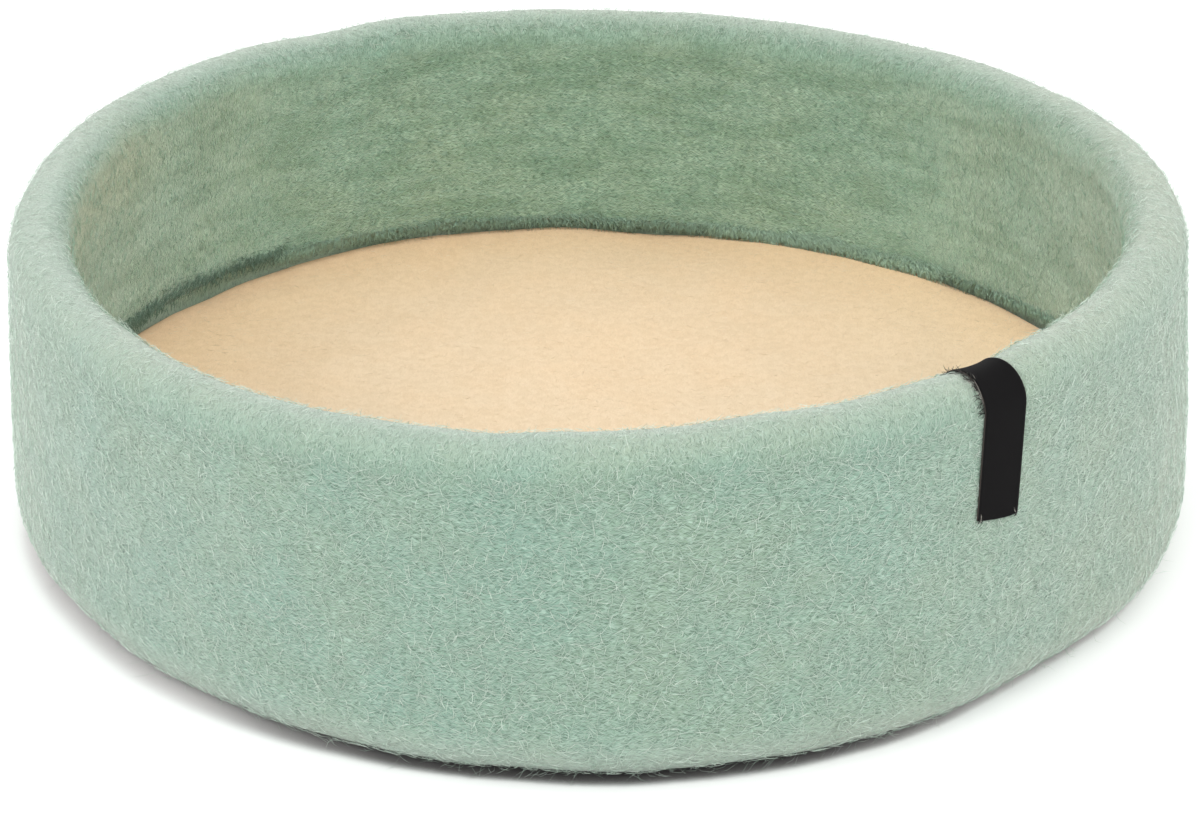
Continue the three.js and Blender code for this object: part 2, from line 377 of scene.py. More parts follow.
@dataclass(frozen=True)
class ShellShape:
    """The felt shell's sizes, and its section at any angle."""

    rim_radius: float = 0.250
    foot_radius: float = 0.2514
    rim_height: float = 0.149
    belly: float = 0.001
    rim_roll: float = 0.013
    foot_roll: float = 0.024
    felt: float = 0.0125
    base_thickness: float = 0.014
    base_fillet: float = 0.006
    cuff_height: float = 0.0434
    cuff_roll: float = 0.0035
    cuff_draw: float = 0.005
    cuff_undercut: float = 0.0015
    rim_height_waves: tuple[Wave, ...] = (Wave(1, 1.4, 0.3), Wave(2, 1.8, -3), Wave(3, -0.5, 0.5))
    foot_radius_waves: tuple[Wave, ...] = (
        Wave(1, 0.4, 0.5), Wave(2, 1.1, 0), Wave(3, 1, 1.1), Wave(4, 2.2, 0.6))
    cuff_height_waves: tuple[Wave, ...] = (Wave(1, -0.9, -0.4), Wave(2, 1.2, -0.7), Wave(3, 1.4, 0.8))
    rim_height_swells: tuple[Swell, ...] = (
        Swell(111, 6, 0.8), Swell(124, 6, -1.2), Swell(260, 5, -0.9), Swell(284, 6, 0.6),
        Swell(310, 4, -2.5))
    rim_radius_swells: tuple[Swell, ...] = (Swell(169, 9, -1.2), Swell(187, 9, 0.7))
    foot_radius_swells: tuple[Swell, ...] = (
        Swell(209, 8, -2), Swell(300, 12, 1), Swell(320, 9, -1.6), Swell(335, 8, 1.4))

    def roll_height(self, angle: Array) -> Array:
        """The height at which the wall turns into the rounded rim."""
        waves = total(self.rim_height_waves, angle) + total(self.rim_height_swells, angle)
        return self.rim_height + waves - self.rim_roll

    def cuff_edge(self, angle: Array) -> Array:
        """The height of the folded-in layer's lower edge."""
        return self.cuff_height + total(self.cuff_height_waves, angle)

    def outer(self, angle: Array, height: Array) -> Array:
        """The outer wall's radius: from the foot's to the rim's, with a half sine as its belly.

        Args:
            angle: angles round the basket.
            height: heights over the floor.

        Returns:
            The radii.
        """
        rim = self.rim_radius + total(self.rim_radius_swells, angle)
        foot = (self.foot_radius + total(self.foot_radius_waves, angle)
                + total(self.foot_radius_swells, angle))
        share = height / self.roll_height(angle)
        return foot + (rim - foot) * share + self.belly * np.sin(math.pi * share)

    def inner(self, angle: Array, height: Array) -> Array:
        """The folded-in layer's radius.

        It lies two rim rolls inside the outer wall, and draws back out towards it down to the edge.

        Args:
            angle: angles round the basket.
            height: heights over the floor.

        Returns:
            The radii.
        """
        roll = self.roll_height(angle)
        draw = self.cuff_draw * (roll - height) / (roll - self.cuff_edge(angle))
        return self.outer(angle, height) - 2 * self.rim_roll + draw


class Stretch(Enum):
    """The stretches of the shell's section in order, each with its place in it and its rows in the grid."""

    UNDERSIDE = (0, 6)
    FOOT = (1, 12)
    WALL = (2, 32)
    RIM = (3, 20)
    INSIDE = (4, 26)
    CUFF = (5, 6)
    GROOVE_TOP = (6, 3)
    GROOVE = (7, 6)
    FILLET = (8, 4)
    BASE = (9, 5)

    @property
    def rows(self) -> int:
        """The number of rows."""
        return self.value[1]


@dataclass(frozen=True)
class Ramp:
    """A smooth step along the section: its start and end, in metres from where a stretch starts."""

    stretch: Stretch
    start: float
    end: float


@dataclass
class Shell:
    """The seamless felt shell with its folded-in cuff."""

    shape: ShellShape = field(default_factory=ShellShape)
    columns: int = 420
    pole_share: float = 0.1
    coarse: Ripple = Ripple(seed=11, height=0.0002, shortest=0.03, longest=0.12)
    fine: Ripple = Ripple(seed=12, height=0.00005, shortest=0.009, longest=0.02, waves=60)
    cuff: Ripple = Ripple(seed=13, height=0.0003, shortest=0.012, longest=0.06)
    # Painted shade under the cuff: how strongly the crease is darkened round the basket, and where it
    # starts and ends.
    crease: float = 0.22
    crease_swells: tuple[Swell, ...] = (
        Swell(147, 14, 0.55), Swell(102, 9, 0.15), Swell(82, 8, 0.12), Swell(62, 12, -0.2),
        Swell(40, 5, 0.15))
    crease_far: Ramp = Ramp(Stretch.GROOVE_TOP, -0.020, -0.004)
    crease_near: Ramp = Ramp(Stretch.GROOVE_TOP, -0.007, -0.001)
    crease_parts: tuple[float, float] = (0.45, 0.55)
    crease_end: Ramp = Ramp(Stretch.GROOVE, -0.002, 0.001)
    crease_end_share: float = 0.9
    rim_comb: float = 0.6
    comb_start: Ramp = Ramp(Stretch.RIM, -0.012, 0.004)
    comb_inside: Ramp = Ramp(Stretch.INSIDE, -0.006, 0.012)
    comb_back: tuple[float, float] = (0.5, 0.95)
    # Over the rim: brushed pale nap, partly a painted highlight.
    rim_nap: float = 1.1
    rim_nap_start: Ramp = Ramp(Stretch.RIM, -0.002, 0.014)
    rim_nap_end: Ramp = Ramp(Stretch.INSIDE, -0.020, -0.004)
    # On the foot: painted light that lifts the shade of its roll.
    foot_nap_start: Ramp = Ramp(Stretch.FOOT, 0.006, 0.014)
    foot_nap_end: Ramp = Ramp(Stretch.WALL, -0.016, 0.004)
    # In the groove under the cuff: painted light that lifts its shade.
    groove_nap: float = 1.5
    groove_nap_start: Ramp = Ramp(Stretch.GROOVE, -0.001, 0.001)
    # At both sides of the outer wall: painted light, as the sides catch at a grazing angle.
    side_nap_start: Ramp = Ramp(Stretch.FOOT, 0, 0.01)
    side_nap_swells: tuple[Swell, ...] = (Swell(186, 20, 0.85), Swell(-4, 22, 0.3))
    # Where the painted light on the inside starts.
    inner_light_start: Ramp = Ramp(Stretch.INSIDE, -0.015, 0.007)
    # Painted warm light: a band under the rim inside, for the pad's warm bounce, and faintly outside.
    dun_start: Ramp = Ramp(Stretch.INSIDE, -0.012, 0)
    dun_end: Ramp = Ramp(Stretch.INSIDE, 0.006, 0.05)
    dun_swells: tuple[Swell, ...] = (Swell(172, 24, 0.7), Swell(30, 20, 0.15))
    outer_dun_end: Ramp = Ramp(Stretch.INSIDE, -0.006, 0)
    outer_dun_swells: tuple[Swell, ...] = (Swell(5, 50, 0.25),)
    skin: Skin = field(init=False)
    starts: dict[Stretch, float] = field(init=False)

    def __post_init__(self) -> None:
        """Lays the section's rows out and makes the skin uneven."""
        angle = math.pi / 2 + np.arange(self.columns) * TURN / self.columns
        stretches = self._stretches(angle)
        radius = np.concatenate([rows[0] for rows in stretches.values()])
        height = np.concatenate([rows[1] for rows in stretches.values()])
        self.skin = Skin(radius, height, angle)
        counts = np.cumsum([0] + [len(rows[0]) for rows in stretches.values()])
        self.starts = {
            stretch: float(self.skin.travel[max(start - 1, 0)])
            for stretch, start in zip(stretches, counts)}
        self._make_uneven()

    def _stretches(self, angle: Array) -> dict[Stretch, tuple[Array, Array]]:
        """The radius and height of the rows of each stretch.

        The underside and the base's top are flat. The foot, the rim, the cuff's edge and the fillet are
        arcs on the slanted wall. The walls are the outer and the inner radius at even heights. A stretch
        leaves out the row that it shares with the one before.

        Args:
            angle: the columns' angles.

        Returns:
            For each stretch its radius grid and its height grid.
        """
        shape = self.shape
        roll = shape.roll_height(angle)
        cuff_edge = shape.cuff_edge(angle) + self.cuff.at(angle, 0 * angle, shape.rim_radius)
        turn_height = cuff_edge + shape.cuff_roll
        cuff_centre = shape.inner(angle, turn_height) + shape.cuff_roll
        groove_height = cuff_edge + shape.cuff_undercut
        fillet_height = shape.base_thickness + shape.base_fillet
        fillet_centre = shape.outer(angle, fillet_height) - shape.felt - shape.base_fillet
        foot_centre = shape.outer(angle, 0) - shape.foot_roll

        def rows(stretch: Stretch, start: float | Array, end: float | Array) -> Array:
            """The stretch's even places from start to end, without the first."""
            return spaced(start, end, stretch.rows + 1)[1:] + 0 * angle

        foot = rows(Stretch.FOOT, 0, math.pi / 2)
        foot_height = shape.foot_roll * (1 - np.cos(foot))
        wall = rows(Stretch.WALL, shape.foot_roll, roll)
        rim = rows(Stretch.RIM, 0, math.pi)
        inside = rows(Stretch.INSIDE, roll, turn_height)
        cuff = rows(Stretch.CUFF, 0, math.pi / 2)
        groove_top = rows(Stretch.GROOVE_TOP, 0, 1)
        groove = rows(Stretch.GROOVE, groove_height, fillet_height)
        fillet = rows(Stretch.FILLET, 0, math.pi / 2)
        groove_radius = shape.outer(angle, groove_height) - shape.felt
        cuff_foot = turn_height - shape.cuff_roll
        base = rows(Stretch.BASE, fillet_centre, fillet_centre * self.pole_share)
        underside = rows(Stretch.UNDERSIDE, foot_centre * self.pole_share, foot_centre)
        return {
            Stretch.UNDERSIDE: (underside, 0 * underside),
            Stretch.FOOT: (
                shape.outer(angle, foot_height) - shape.foot_roll * (1 - np.sin(foot)), foot_height),
            Stretch.WALL: (shape.outer(angle, wall), wall),
            Stretch.RIM: (
                shape.outer(angle, roll) - shape.rim_roll * (1 - np.cos(rim)),
                roll + shape.rim_roll * np.sin(rim)),
            Stretch.INSIDE: (shape.inner(angle, inside), inside),
            Stretch.CUFF: (
                cuff_centre - shape.cuff_roll * np.cos(cuff),
                turn_height - shape.cuff_roll * np.sin(cuff)),
            Stretch.GROOVE_TOP: (
                cuff_centre + (groove_radius - cuff_centre) * groove_top,
                cuff_foot + (groove_height - cuff_foot) * groove_top),
            Stretch.GROOVE: (shape.outer(angle, groove) - shape.felt, groove),
            Stretch.FILLET: (
                fillet_centre + shape.base_fillet * np.cos(fillet),
                fillet_height - shape.base_fillet * np.sin(fillet)),
            Stretch.BASE: (base, shape.base_thickness + 0 * base),
        }

    def _make_uneven(self) -> None:
        """Adds the ripples to the foot, the wall, the rim and the inside, fading out at both ends."""
        travel = self.skin.travel[:, None]
        angle = self.skin.angle[None, :]
        start, end = self.starts[Stretch.FOOT], self.starts[Stretch.GROOVE_TOP]
        fade = np.clip(np.minimum(travel - start, end - travel) / self.shape.rim_roll, 0, 1)
        radius = self.shape.rim_radius
        rise = self.coarse.at(angle, travel, radius) + self.fine.at(angle, travel, radius)
        self.skin.swell(fade * rise)

    def _step(self, ramp: Ramp) -> Array:
        """A ramp on the grid's rows: from 0 before its start to 1 after its end."""
        origin = self.starts[ramp.stretch]
        return smooth(self.skin.travel[:, None], origin + ramp.start, origin + ramp.end)

    def _around(self, swells: tuple[Swell, ...]) -> Array:
        """A table of swells on the grid's columns, as plain shares."""
        return total(swells, self.skin.angle[None, :]) / MM

    def _shade(self) -> Array:
        """Painted shade in the crease under the cuff: how far the felt there is darkened.

        It rises softly towards the cuff's edge in two steps, is highest under it, and ends at the groove's
        wall. Where the cuff lies close to the wall, the painted shade is light.

        Returns:
            Shares from 0 to 1 on the grid.
        """
        far, near = self.crease_parts
        # How strongly the crease is painted dark at each angle.
        painted_shade_strength = self.crease + self._around(self.crease_swells)
        nearing = far * self._step(self.crease_far) + near * self._step(self.crease_near)
        return painted_shade_strength * (nearing - self.crease_end_share * self._step(self.crease_end))

    def _comb(self) -> Array:
        """How far the strands run up and down rather than round.

        They run across the rim, round the inside at the back, and up and down inside at both sides.

        Returns:
            Shares from 0 to 1 on the grid.
        """
        sideways = 1 - smooth(np.sin(self.skin.angle)[None, :], *self.comb_back)
        inner = self._step(self.comb_inside)
        return self.rim_comb * self._step(self.comb_start) * (1 - inner) + inner * sideways

    def _nap(self) -> Array:
        """How much the felt is paler: brushed pale nap and painted light.

        Over the rim it is brushed pale, partly as a painted highlight. On the foot, in the groove and at
        both sides of the outer wall it is painted light that lifts the shade there.

        Returns:
            Shares from 0 up on the grid.
        """
        over_rim = self.rim_nap * self._step(self.rim_nap_start) * (1 - self._step(self.rim_nap_end))
        under_wall = self._step(self.foot_nap_start) * (1 - self._step(self.foot_nap_end))
        groove = self.groove_nap * self._step(self.groove_nap_start)
        wall = self._step(self.side_nap_start) * (1 - self._step(self.rim_nap_start))
        return over_rim + under_wall + groove + wall * self._around(self.side_nap_swells)

    def _dun(self) -> Array:
        """Painted warm light: warmer felt in a band under the rim inside, for the pad's bounce, and faintly
        outside.

        Returns:
            Shares from 0 to 1 on the grid.
        """
        band = self._step(self.dun_start) * (1 - self._step(self.dun_end))
        outside = 1 - self._step(self.outer_dun_end)
        return band * self._around(self.dun_swells) + outside * self._around(self.outer_dun_swells)

    def build(self, material: bpy.types.Material) -> bpy.types.Object:
        """The shell's piece, which stands for the frame's own solid.

        Args:
            material: the felt.

        Returns:
            The new object.
        """
        travel = self.skin.travel
        walled = (travel > self.starts[Stretch.FOOT] + MM) & (travel < self.starts[Stretch.BASE] - MM)
        flat_radius = np.where(walled, np.nan, self.skin.radius.mean(1))
        # The shares paint light and shade: painted shade in the crease, painted light on the inside,
        # brushed pale nap with painted light on the rim, painted light on the foot, in the groove and at
        # the sides, and painted warm light under the rim inside and faintly outside.
        mesh = self.skin.mesh(
            "felt_shell_skin", flat_radius, shade=self._shade(), nap=self._nap(), comb=self._comb(),
            inner=self._step(self.inner_light_start), dun=self._dun())
        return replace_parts(add_piece(mesh, material), "felt_shell")


@dataclass(frozen=True)
class PadShape:
    """The felt pad's sizes, and its section at any angle."""

    radius: float = 0.2365
    thickness: float = 0.0229
    clearance: float = 0.0012
    top_round: float = 0.003
    foot_round: float = 0.006
    gap: float = 0.0003
    radius_waves: tuple[Wave, ...] = (Wave(1, -3, 0), Wave(3, 0.5, 0.4))
    relief_waves: tuple[Wave, ...] = (Wave(2, 0.4, -0.3), Wave(3, -0.3, 0.3))
    edge_swells: tuple[Swell, ...] = (
        Swell(58, 9, 0.5), Swell(83, 6, -2), Swell(95, 4, 0.7), Swell(111, 22, 1.2),
        Swell(141, 5, -1.4))
    edge_power: int = 8

    def edge(self, angle: Array, shell: ShellShape) -> Array:
        """The pad's radius: its own waves, but no wider than the wall less the clearance.

        Args:
            angle: angles round the basket.
            shell: the shell that the pad lies in.

        Returns:
            The radii.
        """
        low, high = shell.base_thickness, shell.base_thickness + self.thickness
        wall = np.minimum(shell.outer(angle, low), shell.outer(angle, high)) - shell.felt
        return np.minimum(self.radius + total(self.radius_waves, angle), wall - self.clearance)

    def relief(self, share: Array, angle: Array) -> Array:
        """The top's rise at a share of the radius: waves by its square, edge swells by its edge power."""
        return (share ** 2 * total(self.relief_waves, angle)
                + share ** self.edge_power * total(self.edge_swells, angle))


@dataclass
class Pad:
    """The loose felt pad in the basket."""

    shape: PadShape = field(default_factory=PadShape)
    shell: ShellShape = field(default_factory=ShellShape)
    columns: int = 300
    foot_rows: int = 6
    side_rows: int = 6
    edge_rows: int = 8
    top_rows: int = 50
    pole_share: float = 0.1
    top_pole_share: float = 0.01
    coarse: Ripple = Ripple(seed=21, height=0.00025, shortest=0.03, longest=0.12)
    fine: Ripple = Ripple(seed=22, height=0.00006, shortest=0.01, longest=0.02, waves=60)
    # Painted light near the walls, warm: how much the pad's edge is lifted round the basket.
    edge_light_swells: tuple[Swell, ...] = (Swell(150, 50, 0.7), Swell(70, 40, 0.6), Swell(20, 35, 0.6))
    edge_light_share: float = 0.4
    edge_light_power: int = 4
    # Painted light: the pad is paler towards the right.
    painted_light_side: tuple[float, float] = (0.04, 0.24)
    skin: Skin = field(init=False)
    under_end: float = field(init=False)
    top_start: float = field(init=False)

    def __post_init__(self) -> None:
        """Lays the section's rows out and makes the top uneven."""
        shape = self.shape
        angle = math.pi / 2 + np.arange(self.columns) * TURN / self.columns
        edge = shape.edge(angle, self.shell)
        floor = self.shell.base_thickness + shape.gap
        foot_centre, top_centre = edge - shape.foot_round, edge - shape.top_round
        shoulder = shape.thickness - shape.top_round
        under = spaced(foot_centre * self.pole_share, foot_centre, self.foot_rows)
        foot = spaced(0, math.pi / 2, self.edge_rows)[1:] + 0 * angle
        side = spaced(shape.foot_round, shoulder, self.side_rows)[1:-1] + 0 * angle
        top = spaced(0, math.pi / 2, self.edge_rows) + 0 * angle
        flat = spaced(1, self.top_pole_share, self.top_rows)[1:] + 0 * angle
        radius = np.concatenate([
            under, foot_centre + shape.foot_round * np.sin(foot), edge + 0 * side,
            top_centre + shape.top_round * np.cos(top), flat * top_centre])
        height = floor + np.concatenate([
            0 * under, shape.foot_round * (1 - np.cos(foot)), side,
            shoulder + shape.top_round * np.sin(top) + shape.relief(1, angle),
            shape.thickness + shape.relief(flat, angle)])
        self.skin = Skin(radius, height, angle)
        rows = len(under) + len(foot) + len(side)
        self.under_end = float(self.skin.travel[len(under) - 1]) + MM
        self.top_start = float(self.skin.travel[rows])
        self._make_uneven()

    def _make_uneven(self) -> None:
        """Adds the ripples to the top, as waves over its flat places rather than round its axis."""
        points = self.skin.points
        travel = self.skin.travel[:, None]
        fade = np.clip((travel - self.top_start) / self.shape.top_round, 0, 1)
        across = points[..., 0] / self.shape.radius
        rise = (self.coarse.at(across, points[..., 1], self.shape.radius)
                + self.fine.at(across, points[..., 1], self.shape.radius))
        self.skin.swell(fade * rise)

    def build(self, material: bpy.types.Material) -> bpy.types.Object:
        """The pad's piece, which stands for the frame's own solid.

        Painted light makes it lighter and warmer towards its edge, and paler towards the right.

        Args:
            material: the felt.

        Returns:
            The new object.
        """
        nothing = np.zeros((1, 1))
        angle = self.skin.angle[None, :]
        # Painted warm light that lifts the shade near the walls, growing towards the edge.
        outward = (self.skin.radius / self.shape.radius) ** self.edge_light_power
        warm = np.clip(outward * (self.edge_light_share + total(self.edge_light_swells, angle) / MM), 0, 1)
        # Painted light towards the right.
        painted_right_light = smooth(self.skin.radius * np.cos(angle), *self.painted_light_side)
        travel = self.skin.travel
        from_top = travel[-1] - travel + self.skin.radius[-1].mean()
        flat_radius = np.where(travel < self.under_end, self.skin.radius.mean(1), from_top)
        mesh = self.skin.mesh(
            "felt_pad_skin", flat_radius, shade=nothing, nap=painted_right_light, comb=nothing, inner=nothing, dun=warm)
        piece = add_piece(mesh, material)
        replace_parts(piece, "felt_pad")
        return piece


class Place(Enum):
    """Where a bunch of fibres lies, which picks its finish."""

    OUTER = "outer"
    INNER = "inner"
    # Dark fibres in the crease: painted shade.
    CREASE = "crease"


@dataclass(frozen=True)
class Lay:
    """How the fibres of a bunch lie on a skin: where, which way, how long and how loose."""

    name: str
    seed: int
    count: int
    travel: tuple[float, float]
    angle: tuple[float, float] = (0, 360)
    length: tuple[float, float] = (0.004, 0.010)
    width: tuple[float, float] = (0.00012, 0.00026)
    joints: int = 4
    heading: float = 0
    spread: float = 60
    swirl: float = 50
    curl: float = 70
    lift: tuple[float, float] = (0.0001, 0.0005)
    arch: float = 0.0003
    flyaway: float = 0
    lowest: float = 0.0003
    straight: bool = False
    tone: tuple[float, float] = (0, 1)
    place: Place = Place.OUTER


@dataclass
class Fibres:
    """A bunch of loose fibres on a skin, each a thin strand that ends in a point at both ends."""

    lay: Lay
    skin: Skin
    root_depth: float = 0.0002
    least_radius: float = 0.02
    pressed: tuple[float, float] = (0.05, 0.08)
    area_steps: int = 200
    swirl: Ripple = field(init=False)

    def __post_init__(self) -> None:
        """Makes the slow change of the fibres' heading over the skin."""
        self.swirl = Ripple(seed=self.lay.seed, height=1, shortest=0.03, longest=0.15, waves=12)

    def _paths(self) -> tuple[Array, Array]:
        """The fibres' points and the skin's normals there.

        A fibre starts at a random place, even over the area. Its heading is the lay's, plus a swirl that
        changes slowly over the skin, plus its own share of the spread, and it turns evenly by its own curl
        on its way. Its height over the skin is its lift plus an arch of half a sine, and it starts in the
        felt. A flyaway adds the square of the way along times its height, but not under the label, which
        presses it flat.

        Returns:
            Points and normals, with an axis for the fibre and one for the place along it.
        """
        lay = self.lay
        draw = np.random.default_rng(lay.seed)
        count, places = lay.count, lay.joints
        angle = np.radians(draw.uniform(*lay.angle, count))
        ways = np.linspace(*lay.travel, self.area_steps)
        around = np.interp(ways, self.skin.travel, self.skin.radius.mean(1))
        travel = np.interp(draw.uniform(0, 1, count), np.cumsum(around) / around.sum(), ways)
        radius = np.maximum(np.interp(travel, ways, around), self.least_radius)
        length = draw.uniform(*lay.length, count)
        heading = np.radians(
            lay.heading + lay.swirl * self.swirl.at(angle, travel, ShellShape.rim_radius)
            + lay.spread * draw.standard_normal(count))
        curl = np.radians(lay.curl) * draw.standard_normal(count)
        share = np.linspace(0, 1, places)
        turned = heading[:, None] + curl[:, None] * (share - 0.5)
        step = length[:, None] / (places - 1)
        over = np.cumsum(np.cos(turned) * step, 1)
        down = np.cumsum(np.sin(turned) * step, 1)
        if lay.straight:
            points, normals = self._straight_on(angle, travel, over, down)
            ways_round = angle[:, None] + over / radius[:, None]
        else:
            ways_round = angle[:, None] + (over - over.mean(1, keepdims=True)) / radius[:, None]
            points, normals = self.skin.at(ways_round, travel[:, None] + down - down.mean(1, keepdims=True))
        away = np.abs((ways_round - math.radians(LabelShape.angle) + math.pi) % TURN - math.pi)
        lift = draw.uniform(*lay.lift, count)[:, None] + lay.arch * np.sin(math.pi * share)
        loose = lay.flyaway * smooth(away, *self.pressed)
        lift = lift + loose * np.abs(draw.standard_normal(count))[:, None] * share ** 2
        lift[:, 0] = -self.root_depth
        points = points + lift[..., None] * normals
        points[..., 2] = np.maximum(points[..., 2], lay.lowest)
        return points, normals

    def _straight_on(self, angle: Array, travel: Array, over: Array, down: Array) -> tuple[Array, Array]:
        """Places that go straight on where the skin bends away.

        They lie in the plane that touches the skin where the fibre starts.

        Args:
            angle: the fibres' angles at their start.
            travel: their travels at their start.
            over: the ways round from the start, with an axis for the fibre and one for the place along it.
            down: the ways along the section, likewise.

        Returns:
            Points and normals, with the same two axes and a last axis of three.
        """
        start, normals = self.skin.at(angle, travel)
        section = self.skin.at(angle, travel + MM)[0] - start
        section = section / np.linalg.norm(section, axis=-1, keepdims=True)
        around = np.cross(section, normals)
        points = start[:, None] + over[..., None] * around[:, None] + down[..., None] * section[:, None]
        return points, np.broadcast_to(normals[:, None], points.shape)

    def build(self, material: bpy.types.Material, slot: str) -> bpy.types.Object:
        """The bunch's piece, with a random width and tone for each fibre.

        Args:
            material: the fibres' finish.
            slot: not used. the record's material slot.

        Returns:
            The new object.
        """
        points, normals = self._paths()
        draw = np.random.default_rng(self.lay.seed + 1)
        count = len(points)
        width = draw.uniform(*self.lay.width, count)
        mesh = strand_mesh(self.lay.name, points, normals, width, draw.uniform(*self.lay.tone, count))
        return add_piece(mesh, material)


@dataclass(frozen=True)
class LabelShape:
    """The ribbon label's sizes, and its course over the rim."""

    angle: float = -51.2
    width: float = 0.0223
    thickness: float = 0.001
    drop: float = 0.0455
    lean: float = 3
    skew: float = 0.1
    gap: float = 0.0003
    nearby: float = 0.0005
    edge_round: float = 0.0004
    edge_thinning: float = 0.3
    selvedge_rise: float = 0.00012
    selvedge_inset: float = 0.0011
    selvedge_spread: float = 0.0006


@dataclass(frozen=True)
class LooseThreads:
    """One kind of loose threads on the ribbon's left edge. Headings and curls are in radians."""

    count: int
    length: tuple[float, float]
    reach: tuple[float, float]
    inset: float
    tone: tuple[float, float]
    heading: float
    heading_spread: float
    curl: float
    curl_spread: float


@dataclass(frozen=True)
class Stitches:
    """The stitches at the ribbon's lower corners: their ways in from the edges, tones and sizes.

    The slant is a sine's height, and the slant turn how far its angle goes on a stitch, in radians.
    """

    insets: tuple[float, ...] = (0.0009, 0.0016, 0.0025)
    # The pale middle stitch at each corner is a painted glint.
    tones_with_painted_glint: tuple[float, ...] = (0.05, 0.7, 0.02)
    start: float = 0.0032
    length: float = 0.005
    width: float = 0.00042
    rise: float = 0.0003
    slant: float = 0.0012
    slant_turn: float = 3
    dip_power: int = 4


@dataclass(frozen=True)
class Fraying:
    """The ribbon's loose threads, many short ones and a few long ones, and its stitches."""

    seed: int = 51
    joints: int = 8
    kinds: tuple[LooseThreads, ...] = (
        LooseThreads(
            count=110, length=(0.002, 0.0055), reach=(0.001, 0.034), inset=0.0003, tone=(0, 0.25),
            heading=math.pi, heading_spread=0.7, curl=0, curl_spread=1),
        LooseThreads(
            count=5, length=(0.009, 0.014), reach=(0.003, 0.012), inset=-0.0002, tone=(0.5, 1),
            heading=math.pi / 2, heading_spread=0.15, curl=0.3, curl_spread=0.3))
    straight_share: float = 0.3
    width: tuple[float, float] = (0.00016, 0.00028)
    rise: float = 0.0012
    stitches: Stitches = Stitches()

    @property
    def count(self) -> int:
        """The number of loose threads."""
        return sum(kind.count for kind in self.kinds)


